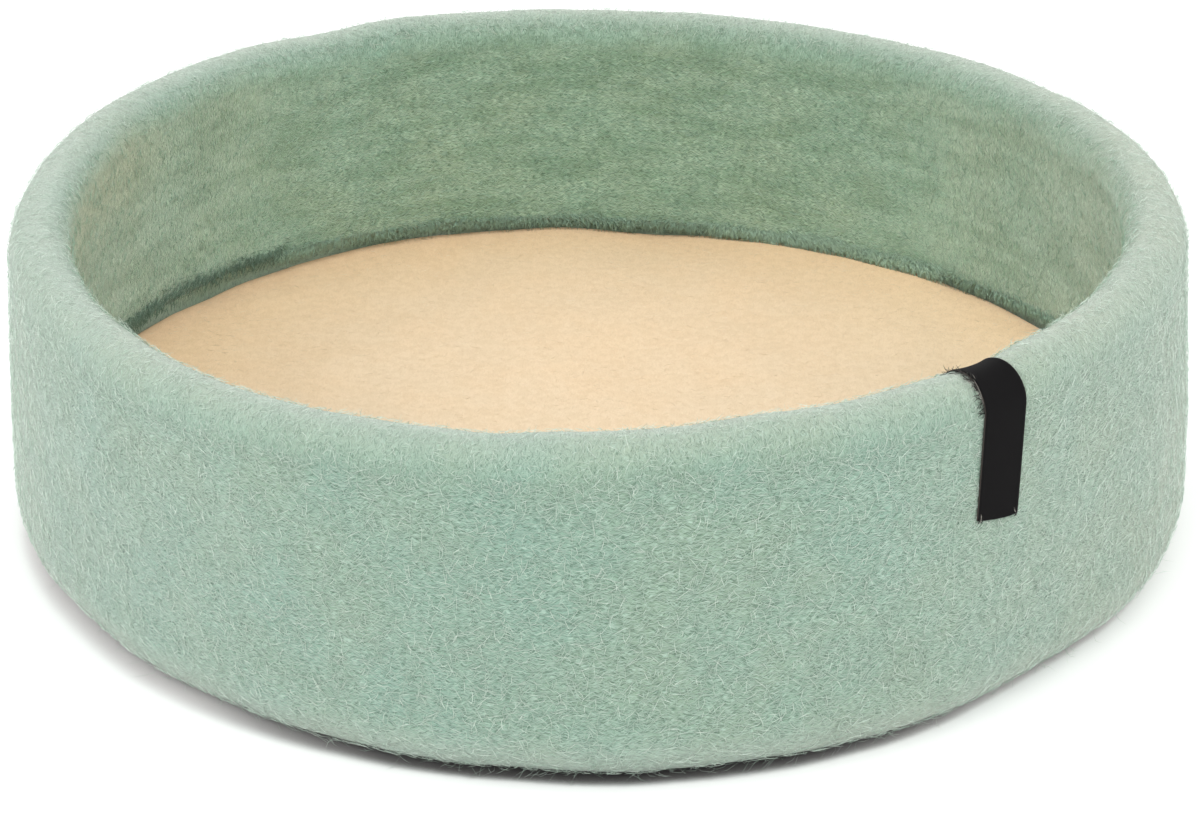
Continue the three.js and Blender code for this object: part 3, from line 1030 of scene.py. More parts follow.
@dataclass
class Label:
    """The black ribbon folded over the rim, with its corner stitches and its frayed threads."""

    shape: LabelShape = field(default_factory=LabelShape)
    shell: ShellShape = field(default_factory=ShellShape)
    fraying: Fraying = field(default_factory=Fraying)
    offset: Array = field(default_factory=lambda: np.zeros(3))
    across_steps: int = 22
    along_steps: int = 90

    @property
    def roll_length(self) -> float:
        """The way over the rounded rim."""
        return math.pi * self.shell.rim_roll

    @property
    def length(self) -> float:
        """The ribbon's length, laid flat."""
        return self.roll_length + 2 * self.shape.drop

    def _over_rim(self, angle: Array, travel: Array) -> tuple[Array, Array]:
        """Radius and height on the felt at a travel that is 0 where the outer wall meets the rounded rim.

        Below the rim's roll it is the outer wall, over the roll an arc, and after it the inner wall.

        Args:
            angle: angles round the basket.
            travel: the way along the ribbon, from below zero outside to above the roll's length inside.

        Returns:
            The radius and the height.
        """
        shell, roll = self.shell, self.shell.roll_height(angle)
        inside = travel - self.roll_length
        turn = np.clip(travel, 0, self.roll_length) / shell.rim_roll
        radius = shell.outer(angle, roll) - shell.rim_roll * (1 - np.cos(turn))
        height = roll + shell.rim_roll * np.sin(turn)
        radius = np.where(travel < 0, shell.outer(angle, roll + travel), radius)
        radius = np.where(inside > 0, shell.inner(angle, roll - inside), radius)
        height = np.where(travel < 0, roll + travel, height)
        height = np.where(inside > 0, roll - inside, height)
        return radius, height

    def place(self, across: Array, travel: Array, lift: Array) -> Array:
        """Points over the felt under the ribbon.

        The angle is the label's, plus the way across and the lean, both over the rim's radius. The lean
        grows from the lower end up to the rim, and the skew sets the lower end aslant. The lift is along
        the section's normal, from the points just before and just after.

        Args:
            across: the way from the ribbon's middle to its right, seen from the front.
            travel: the way along the ribbon.
            lift: the height over the felt.

        Returns:
            Points, with a last axis of three.
        """
        shape = self.shape
        lean = (np.minimum(travel, 0) + shape.drop) * math.tan(math.radians(shape.lean))
        angle = math.radians(shape.angle) + (across + lean) / self.shell.rim_radius
        way = travel - shape.skew * np.clip(-travel / shape.drop, 0, 1) * across
        before = self._over_rim(angle, way - shape.nearby)
        after = self._over_rim(angle, way + shape.nearby)
        radius, height = self._over_rim(angle, way)
        run, climb = after[0] - before[0], after[1] - before[1]
        length = np.hypot(run, climb)
        radius = radius + lift * climb / length
        height = height - lift * run / length
        return np.stack([radius * np.cos(angle), radius * np.sin(angle), height], -1) + self.offset

    def _ribbon(self) -> bpy.types.Mesh:
        """The ribbon as a closed mesh: its face and its back, joined along the selvedges and at both ends.

        Both are grids of the way across and the way along. The selvedge is a little thicker, and the
        corners are rounded by drawing the lift of the outermost rows in.

        Returns:
            The new mesh, with the ribbon's own ways as its UV map.
        """
        shape = self.shape
        across = np.linspace(-0.5, 0.5, self.across_steps + 1) * shape.width
        along = np.linspace(-shape.drop, self.roll_length + shape.drop, self.along_steps + 1)
        side, way = np.meshgrid(across, along, indexing="ij")
        from_edge = shape.width / 2 - np.abs(side)
        away = (from_edge - shape.selvedge_inset) / shape.selvedge_spread
        selvedge = shape.selvedge_rise * np.exp(-away ** 2)
        edge = np.clip(from_edge / shape.edge_round, 0, 1)
        round_off = shape.edge_thinning * shape.thickness * (1 - np.sqrt(1 - (1 - edge) ** 2))
        face = self.place(side, way, shape.gap + shape.thickness + selvedge - round_off)
        back = self.place(side, way, shape.gap + round_off)
        rows, columns = side.shape
        grid = np.arange(rows * columns).reshape(rows, columns)
        under = grid + rows * columns
        flat = [
            np.stack([grid[:-1, :-1], grid[1:, :-1], grid[1:, 1:], grid[:-1, 1:]], -1).reshape(-1, 4),
            np.stack([under[:-1, :-1], under[:-1, 1:], under[1:, 1:], under[1:, :-1]], -1).reshape(-1, 4)]
        left = np.stack([grid[0, :-1], grid[0, 1:], under[0, 1:], under[0, :-1]], -1)
        right = np.stack([grid[-1, 1:], grid[-1, :-1], under[-1, :-1], under[-1, 1:]], -1)
        start = np.stack([grid[1:, 0], grid[:-1, 0], under[:-1, 0], under[1:, 0]], -1)
        end = np.stack([grid[:-1, -1], grid[1:, -1], under[1:, -1], under[:-1, -1]], -1)
        faces = np.concatenate([*flat, left, right, start, end])
        ways = np.stack([side, way], -1).reshape(-1, 2)
        ways = np.concatenate([ways, ways])
        points = np.concatenate([face.reshape(-1, 3), back.reshape(-1, 3)])
        return build_mesh("ribbon_label_cloth", points, [faces], ways[faces.ravel()])

    def _loose(self) -> tuple[Array, Array, Array]:
        """The paths of the loose threads as ways across and along the ribbon and lifts.

        A thread starts on the left edge. A short one runs outwards and a long one along the edge, each
        turned by its own random angle. It turns evenly by its own curl. Its lift grows with the square of
        the way along it.

        Returns:
            Across, travel and lift, each with an axis for the thread and one for the place along it.
        """
        fray, shape = self.fraying, self.shape
        draw = np.random.default_rng(fray.seed)
        share = np.linspace(0, 1, fray.joints)
        length = np.concatenate([draw.uniform(*kind.length, kind.count) for kind in fray.kinds])
        start = np.concatenate([draw.uniform(*kind.reach, kind.count) for kind in fray.kinds])
        heading = np.concatenate([
            kind.heading + kind.heading_spread * draw.standard_normal(kind.count) for kind in fray.kinds])
        curl = np.concatenate([
            kind.curl + kind.curl_spread * draw.standard_normal(kind.count) for kind in fray.kinds])
        inset = np.concatenate([np.full(kind.count, kind.inset) for kind in fray.kinds])[:, None]
        turned = heading[:, None] + curl[:, None] * (share - fray.straight_share)
        step = length[:, None] / (fray.joints - 1)
        edge = inset - shape.width / 2
        across = edge + np.cumsum(np.cos(turned) * step, 1) - np.cos(turned[:, :1]) * step
        travel = start[:, None] + np.cumsum(np.sin(turned) * step, 1) - np.sin(turned[:, :1]) * step
        rise = fray.rise * np.abs(draw.standard_normal(fray.count))[:, None] * share ** 2
        return across, travel, shape.gap + shape.thickness / 2 + rise

    def _stitches(self) -> tuple[Array, Array, Array]:
        """The paths of the corner stitches, which run over the ribbon's lower end into the felt.

        Each goes straight down at the left, and bends sideways as a sine at the right. Its lift is the
        ribbon's face, which it leaves by a power of the way along it, plus an arch of half a sine.

        Returns:
            Across, travel and lift, as for the loose threads.
        """
        stitches, shape = self.fraying.stitches, self.shape
        share = np.linspace(0, 1, self.fraying.joints)
        inset = np.array(stitches.insets)[:, None]
        bend = stitches.slant * np.sin(stitches.slant_turn * share + inset / MM)
        left = inset - shape.width / 2 + 0 * share
        right = shape.width / 2 - inset - bend
        across = np.concatenate([left, right])
        travel = stitches.start - shape.drop - stitches.length * share + 0 * across
        face = shape.thickness * (1 - share ** stitches.dip_power)
        lift = shape.gap + face + stitches.rise * np.sin(math.pi * share)
        return across, travel, lift + 0 * across

    def _threads(self) -> bpy.types.Mesh:
        """The loose threads and the stitches as one mesh of strands.

        Returns:
            The new mesh.
        """
        fray, stitches = self.fraying, self.fraying.stitches
        paths = [np.concatenate(parts) for parts in zip(self._loose(), self._stitches())]
        points = self.place(*paths)
        normals = self.place(paths[0], paths[1], paths[2] + MM) - points
        normals = normals / np.linalg.norm(normals, axis=-1, keepdims=True)
        draw = np.random.default_rng(fray.seed + 1)
        width = np.concatenate([
            draw.uniform(*fray.width, fray.count), np.full(2 * len(stitches.insets), stitches.width)])
        tone = np.concatenate([
            *(draw.uniform(*kind.tone, kind.count) for kind in fray.kinds), np.tile(stitches.tones_with_painted_glint, 2)])
        return strand_mesh("label_threads", points, normals, width, tone)

    def build(self, cloth: bpy.types.Material, thread: bpy.types.Material) -> bpy.types.Object:
        """The ribbon's pieces: the cloth, folded over the rim, and its threads.

        Args:
            cloth: the ribbon's finish.
            thread: the threads' finish.

        Returns:
            The cloth's object.
        """
        threads = add_piece(self._threads(), thread)
        piece = add_piece(self._ribbon(), cloth)
        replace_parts(piece, "ribbon_label")
        return piece


class Recipe:
    """A material's nodes, with a short way to add each kind."""

    def __init__(self, name: str) -> None:
        """Starts a material with one Principled shader.

        Args:
            name: the material's name.
        """
        self.material = bpy.data.materials.new(name)
        self.material.use_nodes = True
        self.tree = self.material.node_tree
        self.shader = self.tree.nodes["Principled BSDF"]

    @classmethod
    def of_world(cls, world: bpy.types.World) -> "Recipe":
        """The nodes of a world, with its Background as the shader.

        Args:
            world: the world, with its nodes on.

        Returns:
            The recipe.
        """
        recipe = cls.__new__(cls)
        recipe.tree = world.node_tree
        recipe.shader = world.node_tree.nodes["Background"]
        return recipe

    def node(self, kind: str, **settings: object) -> bpy.types.Node:
        """A new node.

        Args:
            kind: Blender's name for the kind of node.
            settings: the node's settings by name.

        Returns:
            The node.
        """
        made = self.tree.nodes.new(kind)
        for name, value in settings.items():
            setattr(made, name, value)
        return made

    def share(self, name: str) -> Socket:
        """The value that the mesh gives at each vertex under a name."""
        return self.node("ShaderNodeAttribute", attribute_name=name).outputs["Fac"]

    def feed(self, socket: Socket, value: Feed) -> None:
        """Links a socket to another socket, or sets its value.

        Args:
            socket: the input.
            value: the output that feeds it, or a plain value.
        """
        if isinstance(value, Socket):
            self.tree.links.new(value, socket)
        else:
            socket.default_value = value

    def set_plain(self, values: dict[str, float | Colour]) -> None:
        """Sets plain numbers and colours on the shader's own sockets, by the sockets' names."""
        for name, value in values.items():
            self.shader.inputs[name].default_value = value

    def calc(self, operation: str, *values: Feed) -> Socket:
        """A Math node, which doesn't clamp.

        Args:
            operation: Blender's name for the operation.
            values: its values, one to three.

        Returns:
            The result.
        """
        made = self.node("ShaderNodeMath", operation=operation)
        for socket, value in zip(made.inputs, values):
            self.feed(socket, value)
        return made.outputs[0]

    def parts(self, place: Socket) -> tuple[Socket, ...]:
        """The parts of a place.

        Args:
            place: the place.

        Returns:
            Its X, its Y and its Z.
        """
        made = self.node("ShaderNodeSeparateXYZ")
        self.feed(made.inputs[0], place)
        return tuple(made.outputs)

    def noise(self, place: Socket, scale: float, detail: float = 2) -> Socket:
        """A Noise texture's value.

        Args:
            place: where it is read.
            scale: how many of its cells go on a metre.
            detail: how many finer layers it has.

        Returns:
            The value, about 0.5 on average.
        """
        made = self.node("ShaderNodeTexNoise")
        for name, value in (("Vector", place), ("Scale", scale), ("Detail", detail)):
            self.feed(made.inputs[name], value)
        return made.outputs["Fac"]

    def fit(self, value: Feed, low: float, high: float, to_low: Feed = 0, to_high: Feed = 1) -> Socket:
        """A smooth step: a Map Range node, clamped.

        Args:
            value: what is fitted.
            low: the value at the step's start.
            high: the value at its end.
            to_low: the result before the start.
            to_high: the result after the end.

        Returns:
            The result.
        """
        made = self.node("ShaderNodeMapRange", interpolation_type="SMOOTHSTEP")
        for socket, number in zip(made.inputs, (value, low, high, to_low, to_high)):
            self.feed(socket, number)
        return made.outputs[0]

    def mix(self, share: Feed, first: Feed, second: Feed, blend: str = "MIX") -> Socket:
        """A colour between two colours, or between the first and its blend with the second.

        Args:
            share: how far it is towards the second.
            first: the first colour.
            second: the second colour.
            blend: Blender's name for the blend.

        Returns:
            The colour.
        """
        made = self.node("ShaderNodeMix", data_type="RGBA", blend_type=blend)
        self.feed(made.inputs["Factor"], share)
        self.feed(made.inputs[6], first)
        self.feed(made.inputs[7], second)
        return made.outputs[2]

    def moved(self, place: Socket, scale: tuple[float, float, float], turn: float = 0,
              start: tuple[float, float, float] = (0, 0, 0)) -> Socket:
        """A place turned about Z and then stretched, in two Mapping nodes.

        Args:
            place: the place.
            scale: its stretch.
            turn: its turn in degrees.
            start: where it is moved after that.

        Returns:
            The new place.
        """
        turned = self.node("ShaderNodeMapping")
        self.feed(turned.inputs["Vector"], place)
        turned.inputs["Rotation"].default_value = (0, 0, math.radians(turn))
        scaled = self.node("ShaderNodeMapping")
        self.feed(scaled.inputs["Vector"], turned.outputs[0])
        scaled.inputs["Scale"].default_value = scale
        scaled.inputs["Location"].default_value = start
        return scaled.outputs[0]

    def bump(self, height: Socket, strength: float, distance: float) -> None:
        """Puts a Bump node on the shader's normal.

        Args:
            height: the relief.
            strength: the node's strength.
            distance: how high a relief of one stands, in metres.
        """
        made = self.node("ShaderNodeBump")
        self.feed(made.inputs["Height"], height)
        made.inputs["Strength"].default_value = strength
        made.inputs["Distance"].default_value = distance
        self.feed(self.shader.inputs["Normal"], made.outputs[0])


@dataclass(frozen=True)
class Strands:
    """One layer of matted strands: their heading in degrees, and their length and width in metres."""

    heading: float
    length: float
    width: float


@dataclass(frozen=True)
class FeltFinish:
    """Thick wool felt: matted strands in every direction over a mottled ground."""

    name: str
    gap: Colour
    ground: Colour
    strand: Colour
    cool: Colour
    warm: Colour
    strands: tuple[Strands, ...] = (
        Strands(2, 0.0034, 0.0004), Strands(24, 0.003, 0.0004), Strands(-28, 0.003, 0.0004),
        Strands(64, 0.003, 0.0004), Strands(-60, 0.003, 0.0004), Strands(92, 0.0034, 0.0004))
    crosswise: float = 0.45
    round_cosine: float = 0.7
    layer_shift: float = 7.3
    strand_range: tuple[float, float] = (0.56, 0.78)
    strand_strength: float = 0.8
    gap_range: tuple[float, float] = (0.44, 0.22)
    gap_strength: float = 0.75
    mottle_scale: float = 38
    wide_mottle_scale: float = 11
    mottle_range: tuple[float, float] = (0.36, 0.64)
    mottle_strength: float = 0.6
    # The pale colour: brushed pale nap, and painted light on the foot, in the groove, at the sides and on
    # the pad.
    nap: Colour = (0.535, 0.592, 0.493, 1)
    nap_strength: float = 0.36
    nap_softness: float = 0.1
    # Painted light on the inside: it multiplies the inside lighter and greener.
    inner: Colour = (1.165, 1.175, 1.098, 1)
    streak: Colour = (0.76, 0.82, 0.77, 1)
    streak_length: float = 0.05
    streak_width: float = 0.011
    streak_range: tuple[float, float] = (0.40, 0.64)
    # Painted warm light: under the rim inside, faintly outside, and at the pad's edge.
    dun: Colour = (1.12, 0.93, 0.78, 1)
    # Painted shade: the colour that the crease is multiplied by.
    shade: Colour = (0.12, 0.25, 0.17, 1)
    fleck: Colour = (0.92, 0.90, 0.86, 1)
    fleck_strength: float = 0
    fleck_size: float = 0.004
    fleck_range: tuple[float, float] = (0.4, 0.6)
    bump: float = 0.6
    bump_height: float = 0.0005
    roughness: float = 0.9
    specular: float = 0.15
    sheen: float = 0.5
    sheen_roughness: float = 0.5
    sheen_tint: Colour = (1.0, 0.90, 0.92, 1)
    curl: float = 0.0014
    curl_size: float = 0.0045

    def _matted(self, recipe: Recipe, ways: Socket) -> tuple[Socket, Socket]:
        """The matted strands and the gaps between them.

        A layer is noise on the skin's ways, turned and stretched along its strands, after the ways are bent
        by a wider noise. Layers that cross the comb are weaker. The strands are the highest of the layers,
        and the gaps the lowest.

        Args:
            recipe: the material's nodes.
            ways: the skin's ways, in metres.

        Returns:
            The strands' and the gaps' shares, each from 0 to 1.
        """
        wander = recipe.node("ShaderNodeTexNoise")
        recipe.feed(wander.inputs["Vector"], ways)
        wander.inputs["Scale"].default_value = 1 / self.curl_size
        bend = recipe.node("ShaderNodeVectorMath", operation="MULTIPLY_ADD")
        recipe.feed(bend.inputs[0], wander.outputs["Color"])
        bend.inputs[1].default_value = (2 * self.curl, 2 * self.curl, 0)
        recipe.feed(bend.inputs[2], ways)
        comb = recipe.share("comb")
        highest, lowest = 0, 1
        for number, layer in enumerate(self.strands):
            place = recipe.moved(
                bend.outputs[0], (1 / layer.length, 1 / layer.width, 1), layer.heading,
                (number * self.layer_shift, 0, number))
            lies_round = abs(math.cos(math.radians(layer.heading))) > self.round_cosine
            uncombed, combed = (1.0, self.crosswise) if lies_round else (self.crosswise, 1.0)
            weight = recipe.fit(comb, 0, 1, uncombed, combed)
            rise = recipe.calc("SUBTRACT", recipe.noise(place, 1, 0), 0.5)
            value = recipe.calc("MULTIPLY_ADD", rise, weight, 0.5)
            highest = recipe.calc("MAXIMUM", highest, value)
            lowest = recipe.calc("MINIMUM", lowest, value)
        return recipe.fit(highest, *self.strand_range), recipe.fit(lowest, *self.gap_range)

    def material(self) -> bpy.types.Material:
        """The finish as a material.

        The ground is mottled between cool and warm by soft noise, and paler by its nap and painted light.
        Strands lighten it and gaps darken it, less so where it is paler, and both are its bump. The fleck,
        inner, streak, warm light and shade colours each multiply it by their share: the inner colour is
        painted light on the inside, the warm light colour painted warm light, and the shade colour painted
        shade in the crease. Streaks are noise stretched along the way round.

        Returns:
            The new material.
        """
        recipe = Recipe(self.name)
        where = recipe.node("ShaderNodeTexCoord").outputs["Object"]
        ways = recipe.node("ShaderNodeUVMap", uv_map="skin").outputs["UV"]
        strands, gaps = self._matted(recipe, ways)
        mottle, wide = (
            recipe.calc("MULTIPLY", recipe.fit(recipe.noise(where, scale, detail), *self.mottle_range), 0.5)
            for scale, detail in ((self.mottle_scale, 3), (self.wide_mottle_scale, 1)))
        tone = recipe.mix(recipe.calc("ADD", mottle, wide), self.cool, self.warm)
        colour = recipe.mix(self.mottle_strength, self.ground, tone)
        nap = recipe.share("nap")
        colour = recipe.mix(recipe.calc("MULTIPLY", nap, self.nap_strength), colour, self.nap)
        contrast = recipe.calc("MULTIPLY_ADD", nap, -self.nap_softness, 1)
        gaps, strands = (recipe.calc("MULTIPLY", share, contrast) for share in (gaps, strands))
        colour = recipe.mix(recipe.calc("MULTIPLY", gaps, self.gap_strength), colour, self.gap)
        colour = recipe.mix(recipe.calc("MULTIPLY", strands, self.strand_strength), colour, self.strand)
        flecks = recipe.fit(recipe.noise(where, 1 / self.fleck_size, 2), *self.fleck_range)
        flecks = recipe.calc("MULTIPLY", flecks, self.fleck_strength)
        streak = recipe.noise(recipe.moved(ways, (1 / self.streak_length, 1 / self.streak_width, 1)), 1, 3)
        inner = recipe.share("inner")
        streaks = recipe.calc("MULTIPLY", inner, recipe.fit(streak, *self.streak_range))
        for share, tint in (
                (flecks, self.fleck), (inner, self.inner), (streaks, self.streak),
                (recipe.share("dun"), self.dun), (recipe.share("shade"), self.shade)):
            colour = recipe.mix(share, colour, tint, "MULTIPLY")
        recipe.feed(recipe.shader.inputs["Base Color"], colour)
        recipe.bump(recipe.calc("SUBTRACT", strands, gaps), self.bump, self.bump_height)
        recipe.set_plain({
            "Roughness": self.roughness, "Specular IOR Level": self.specular, "Sheen Weight": self.sheen,
            "Sheen Roughness": self.sheen_roughness, "Sheen Tint": self.sheen_tint})
        return recipe.material


@dataclass(frozen=True)
class FibreFinish:
    """Loose wool fibres, from a darker to a lighter tone."""

    name: str
    dark: Colour
    light: Colour
    roughness: float = 0.75
    specular: float = 0.2
    sheen: float = 0.2

    def material(self) -> bpy.types.Material:
        """The finish as a material: each fibre's tone picks a colour between dark and light.

        Returns:
            The new material.
        """
        recipe = Recipe(self.name)
        tone = recipe.mix(recipe.share("tone"), self.dark, self.light)
        recipe.feed(recipe.shader.inputs["Base Color"], tone)
        recipe.set_plain({
            "Roughness": self.roughness, "Specular IOR Level": self.specular, "Sheen Weight": self.sheen})
        return recipe.material


@dataclass(frozen=True)
class RibbonFinish:
    """A ribbed woven ribbon: fine ribs across it, and a denser selvedge."""

    name: str
    colour: Colour
    rib: Colour
    selvedge: Colour
    edge: float = LabelShape.width / 2
    selvedge_width: float = 0.0005
    pitch: float = 0.00045
    warp_share: float = 0.75
    bump: float = 0.5
    bump_height: float = 0.0001
    roughness: float = 0.8
    specular: float = 0.06

    def material(self) -> bpy.types.Material:
        """The finish as a material.

        Ribs are a sine of the way along, broken up by the warp's sine across, and the selvedge comes on
        towards both edges.

        Returns:
            The new material.
        """
        recipe = Recipe(self.name)
        across, along, _ = recipe.parts(recipe.node("ShaderNodeUVMap", uv_map="skin").outputs["UV"])
        turns = TURN / self.pitch
        weft = recipe.calc("SINE", recipe.calc("MULTIPLY", along, turns))
        warp = recipe.calc("SINE", recipe.calc("MULTIPLY", across, turns * self.warp_share))
        weave = recipe.fit(recipe.calc("MULTIPLY", weft, warp), -1, 1)
        at_edge = recipe.fit(recipe.calc("ABSOLUTE", across), self.edge - self.selvedge_width, self.edge)
        woven = recipe.mix(weave, self.colour, self.rib)
        recipe.feed(recipe.shader.inputs["Base Color"], recipe.mix(at_edge, woven, self.selvedge))
        recipe.bump(weave, self.bump, self.bump_height)
        recipe.set_plain({"Roughness": self.roughness, "Specular IOR Level": self.specular})
        return recipe.material


@dataclass(frozen=True)
class Ring:
    """One ring of the surround: how bright it is at the sides, in front of the basket and behind it."""

    side: float
    front: float
    back: float


@dataclass(frozen=True)
class Studio:
    """A pale floor with a painted contact shadow, under one wide soft white surround: a cap overhead, a
    middle and a low ring.
    """

    floor_radius: float = 12
    floor_corners: int = 64
    floor_colour: Colour = (1.0, 1.0, 1.0, 1)
    floor_roughness: float = 0.9
    floor_specular: float = 0.1
    # The painted contact shadow's colour in front, its reach, and where it fades.
    painted_shadow_colour: Colour = (0.11, 0.105, 0.105, 1)
    contact_reach: float = 0.008
    contact_start: float = 0.4
    contact_end: float = 0.82
    painted_side_shadow_colour: Colour = (0.72, 0.68, 0.69, 1)
    left_reach: float = 0.014
    right_reach: float = 0.005
    left_to_right: tuple[float, float] = (-0.1, 0.1)
    recess_samples: int = 8
    facing_start: float = 0.7
    facing_end: float = 1.0
    cap: float = 0.85
    cap_start: float = 0.6
    cap_end: float = 0.9
    middle: Ring = Ring(side=2.45, front=3.25, back=0.3)
    middle_start: float = 0.2
    middle_end: float = 0.5
    low: Ring = Ring(side=1.2, front=0, back=2.9)
    left_share: float = 0.05
    surround_colour: Colour = (1.0, 1.0, 1.0, 1)

    def _floor(self) -> None:
        """Adds the floor, a flat disc whose colour is darker close under the basket: a painted contact
        shadow.

        In front the painted shadow is dark, and at the sides it is paler. It reaches furthest at the left.
        """
        turns = np.arange(self.floor_corners) * TURN / self.floor_corners
        rim = np.stack([np.cos(turns), np.sin(turns), 0 * turns], -1) * self.floor_radius
        mesh = build_mesh("floor", rim, [np.arange(self.floor_corners)[None, :]])
        floor = bpy.data.objects.new("floor", mesh)
        bpy.context.scene.collection.objects.link(floor)
        recipe = Recipe("pale_floor")
        x, y, _ = recipe.parts(recipe.node("ShaderNodeTexCoord").outputs["Object"])
        squares = recipe.calc("ADD", recipe.calc("POWER", x, 2), recipe.calc("POWER", y, 2))
        facing = recipe.calc("DIVIDE", recipe.calc("MULTIPLY", y, -1), recipe.calc("SQRT", squares))
        side_reach = recipe.fit(x, *self.left_to_right, self.left_reach, self.right_reach)
        reach = recipe.fit(facing, self.facing_start, self.facing_end, side_reach, self.contact_reach)
        in_front = recipe.fit(facing, self.facing_start, self.facing_end)
        # The painted shadow's colour, dark in front and paler at the sides.
        painted_shadow = recipe.mix(in_front, self.painted_side_shadow_colour, self.painted_shadow_colour)
        recess = recipe.node("ShaderNodeAmbientOcclusion", samples=self.recess_samples)
        recipe.feed(recess.inputs["Distance"], reach)
        open_share = recipe.fit(recess.outputs["AO"], self.contact_start, self.contact_end)
        recipe.feed(recipe.shader.inputs["Base Color"], recipe.mix(open_share, painted_shadow, self.floor_colour))
        recipe.set_plain({"Roughness": self.floor_roughness, "Specular IOR Level": self.floor_specular})
        mesh.materials.append(recipe.material)

    def _surround(self) -> None:
        """Adds the surround, which the camera itself sees plain white.

        The cap and the middle ring come on with the height of a direction, each from its start to its end.
        A direction's part in the sides is the square of its X over the square of its level part, and in
        the front or the back the same of its Y. The left side is brighter than the right by twice the left
        share.
        """
        world = bpy.data.worlds.new("surround")
        world.use_nodes = True
        bpy.context.scene.world = world
        recipe = Recipe.of_world(world)
        x, y, z = recipe.parts(recipe.node("ShaderNodeTexCoord").outputs["Generated"])
        across = recipe.calc("POWER", x, 2)
        level = recipe.calc("ADD", across, recipe.calc("POWER", y, 2))
        tilt = recipe.calc("MULTIPLY_ADD", x, -self.left_share, 1)
        side = recipe.calc("MULTIPLY", recipe.calc("DIVIDE", across, level), tilt)
        front = recipe.calc("DIVIDE", recipe.calc("POWER", recipe.calc("MINIMUM", y, 0), 2), level)
        back = recipe.calc("DIVIDE", recipe.calc("POWER", recipe.calc("MAXIMUM", y, 0), 2), level)

        def ring(light: Ring) -> Socket:
            """The ring's light: each part times its own brightness, summed.

            Args:
                light: how bright the ring is on each side.

            Returns:
                The light's strength.
            """
            behind = recipe.calc("MULTIPLY", back, light.back)
            ends = recipe.calc("MULTIPLY_ADD", front, light.front, behind)
            return recipe.calc("MULTIPLY_ADD", side, light.side, ends)

        above = recipe.fit(z, self.middle_start, self.middle_end)
        top = recipe.fit(z, self.cap_start, self.cap_end)
        under = recipe.calc("SUBTRACT", 1, above)
        between = recipe.calc("MULTIPLY", above, recipe.calc("SUBTRACT", 1, top))
        lowest = recipe.calc("MULTIPLY", ring(self.low), under)
        rings = recipe.calc("MULTIPLY_ADD", ring(self.middle), between, lowest)
        light = recipe.calc("MULTIPLY_ADD", top, self.cap, rings)
        seen = recipe.node("ShaderNodeLightPath").outputs["Is Camera Ray"]
        recipe.set_plain({"Color": self.surround_colour})
        recipe.feed(recipe.shader.inputs["Strength"], recipe.calc("MAXIMUM", light, seen))

    def build(self) -> None:
        """Adds the floor and the surround, and shows colours as they are."""
        self._floor()
        self._surround()
        bpy.context.scene.view_settings.view_transform = "Standard"


@dataclass(frozen=True)
class Photograph:
    """The camera's place and lens: it looks down at the basket from the front."""

    distance: float = 2.0
    elevation: float = 26.06
    width: float = 1200
    height: float = 820
    focal: float = 4527.8
    middle_x: float = 598.25
    middle_y: float = 508.96
    sensor: float = 36

    def build(self, target: Vector) -> None:
        """Adds the camera.

        Its lens and its shift give the photograph's focal length and middle, which are in pixels.

        Args:
            target: the place on the floor under the basket's middle.
        """
        data = bpy.data.cameras.new("camera")
        data.sensor_width = self.sensor
        data.lens = self.focal / self.width * self.sensor
        data.shift_x = (self.width / 2 - self.middle_x) / self.width
        data.shift_y = (self.middle_y - self.height / 2) / self.width
        camera = bpy.data.objects.new("camera", data)
        bpy.context.scene.collection.objects.link(camera)
        lift = math.radians(self.elevation)
        back = Vector((0, -math.cos(lift), math.sin(lift)))
        camera.location = target + back * self.distance
        camera.rotation_mode = "QUATERNION"
        camera.rotation_quaternion = (-back).to_track_quat("-Z", "Y")
        bpy.context.scene.camera = camera


GREEN = FeltFinish(
    name="green_felt", gap=(0.067, 0.14, 0.096, 1), ground=(0.246, 0.378, 0.295, 1),
    strand=(0.418, 0.572, 0.478, 1), cool=(0.228, 0.388, 0.311, 1), warm=(0.281, 0.382, 0.276, 1))
CREAM = FeltFinish(
    name="cream_felt", gap=(0.60, 0.44, 0.27, 1), ground=(0.77, 0.60, 0.41, 1),
    strand=(0.86, 0.71, 0.53, 1), cool=(0.77, 0.61, 0.43, 1), warm=(0.78, 0.58, 0.38, 1),
    strand_strength=0.32, gap_strength=0.28, nap=(0.90, 0.73, 0.53, 1), nap_strength=0.8,
    nap_softness=0, dun=(1.20, 1.09, 0.98, 1), fleck_strength=0.5, bump=0.15, sheen=0.1)
GREEN_FIBRES = FibreFinish("green_fibres", (0.405, 0.535, 0.442, 1), (0.725, 0.812, 0.73, 1))
INNER_FIBRES = FibreFinish("inner_green_fibres", (0.26, 0.40, 0.31, 1), (0.62, 0.82, 0.66, 1), sheen=0)
# Painted shade: dark fibres that deepen the crease.
PAINTED_SHADE_FIBRES = FibreFinish("painted_shade_green_fibres", (0.09, 0.16, 0.12, 1), (0.25, 0.38, 0.30, 1), sheen=0)
CREAM_FIBRES = FibreFinish("cream_fibres", (0.68, 0.50, 0.32, 1), (0.86, 0.74, 0.58, 1))
RIBBON = RibbonFinish(
    "black_ribbon", colour=(0.004, 0.0038, 0.004, 1), rib=(0.009, 0.0085, 0.0088, 1),
    selvedge=(0.06, 0.052, 0.046, 1))
THREAD = FibreFinish("ribbon_thread", (0.004, 0.004, 0.004, 1), (0.42, 0.40, 0.36, 1), sheen=0)


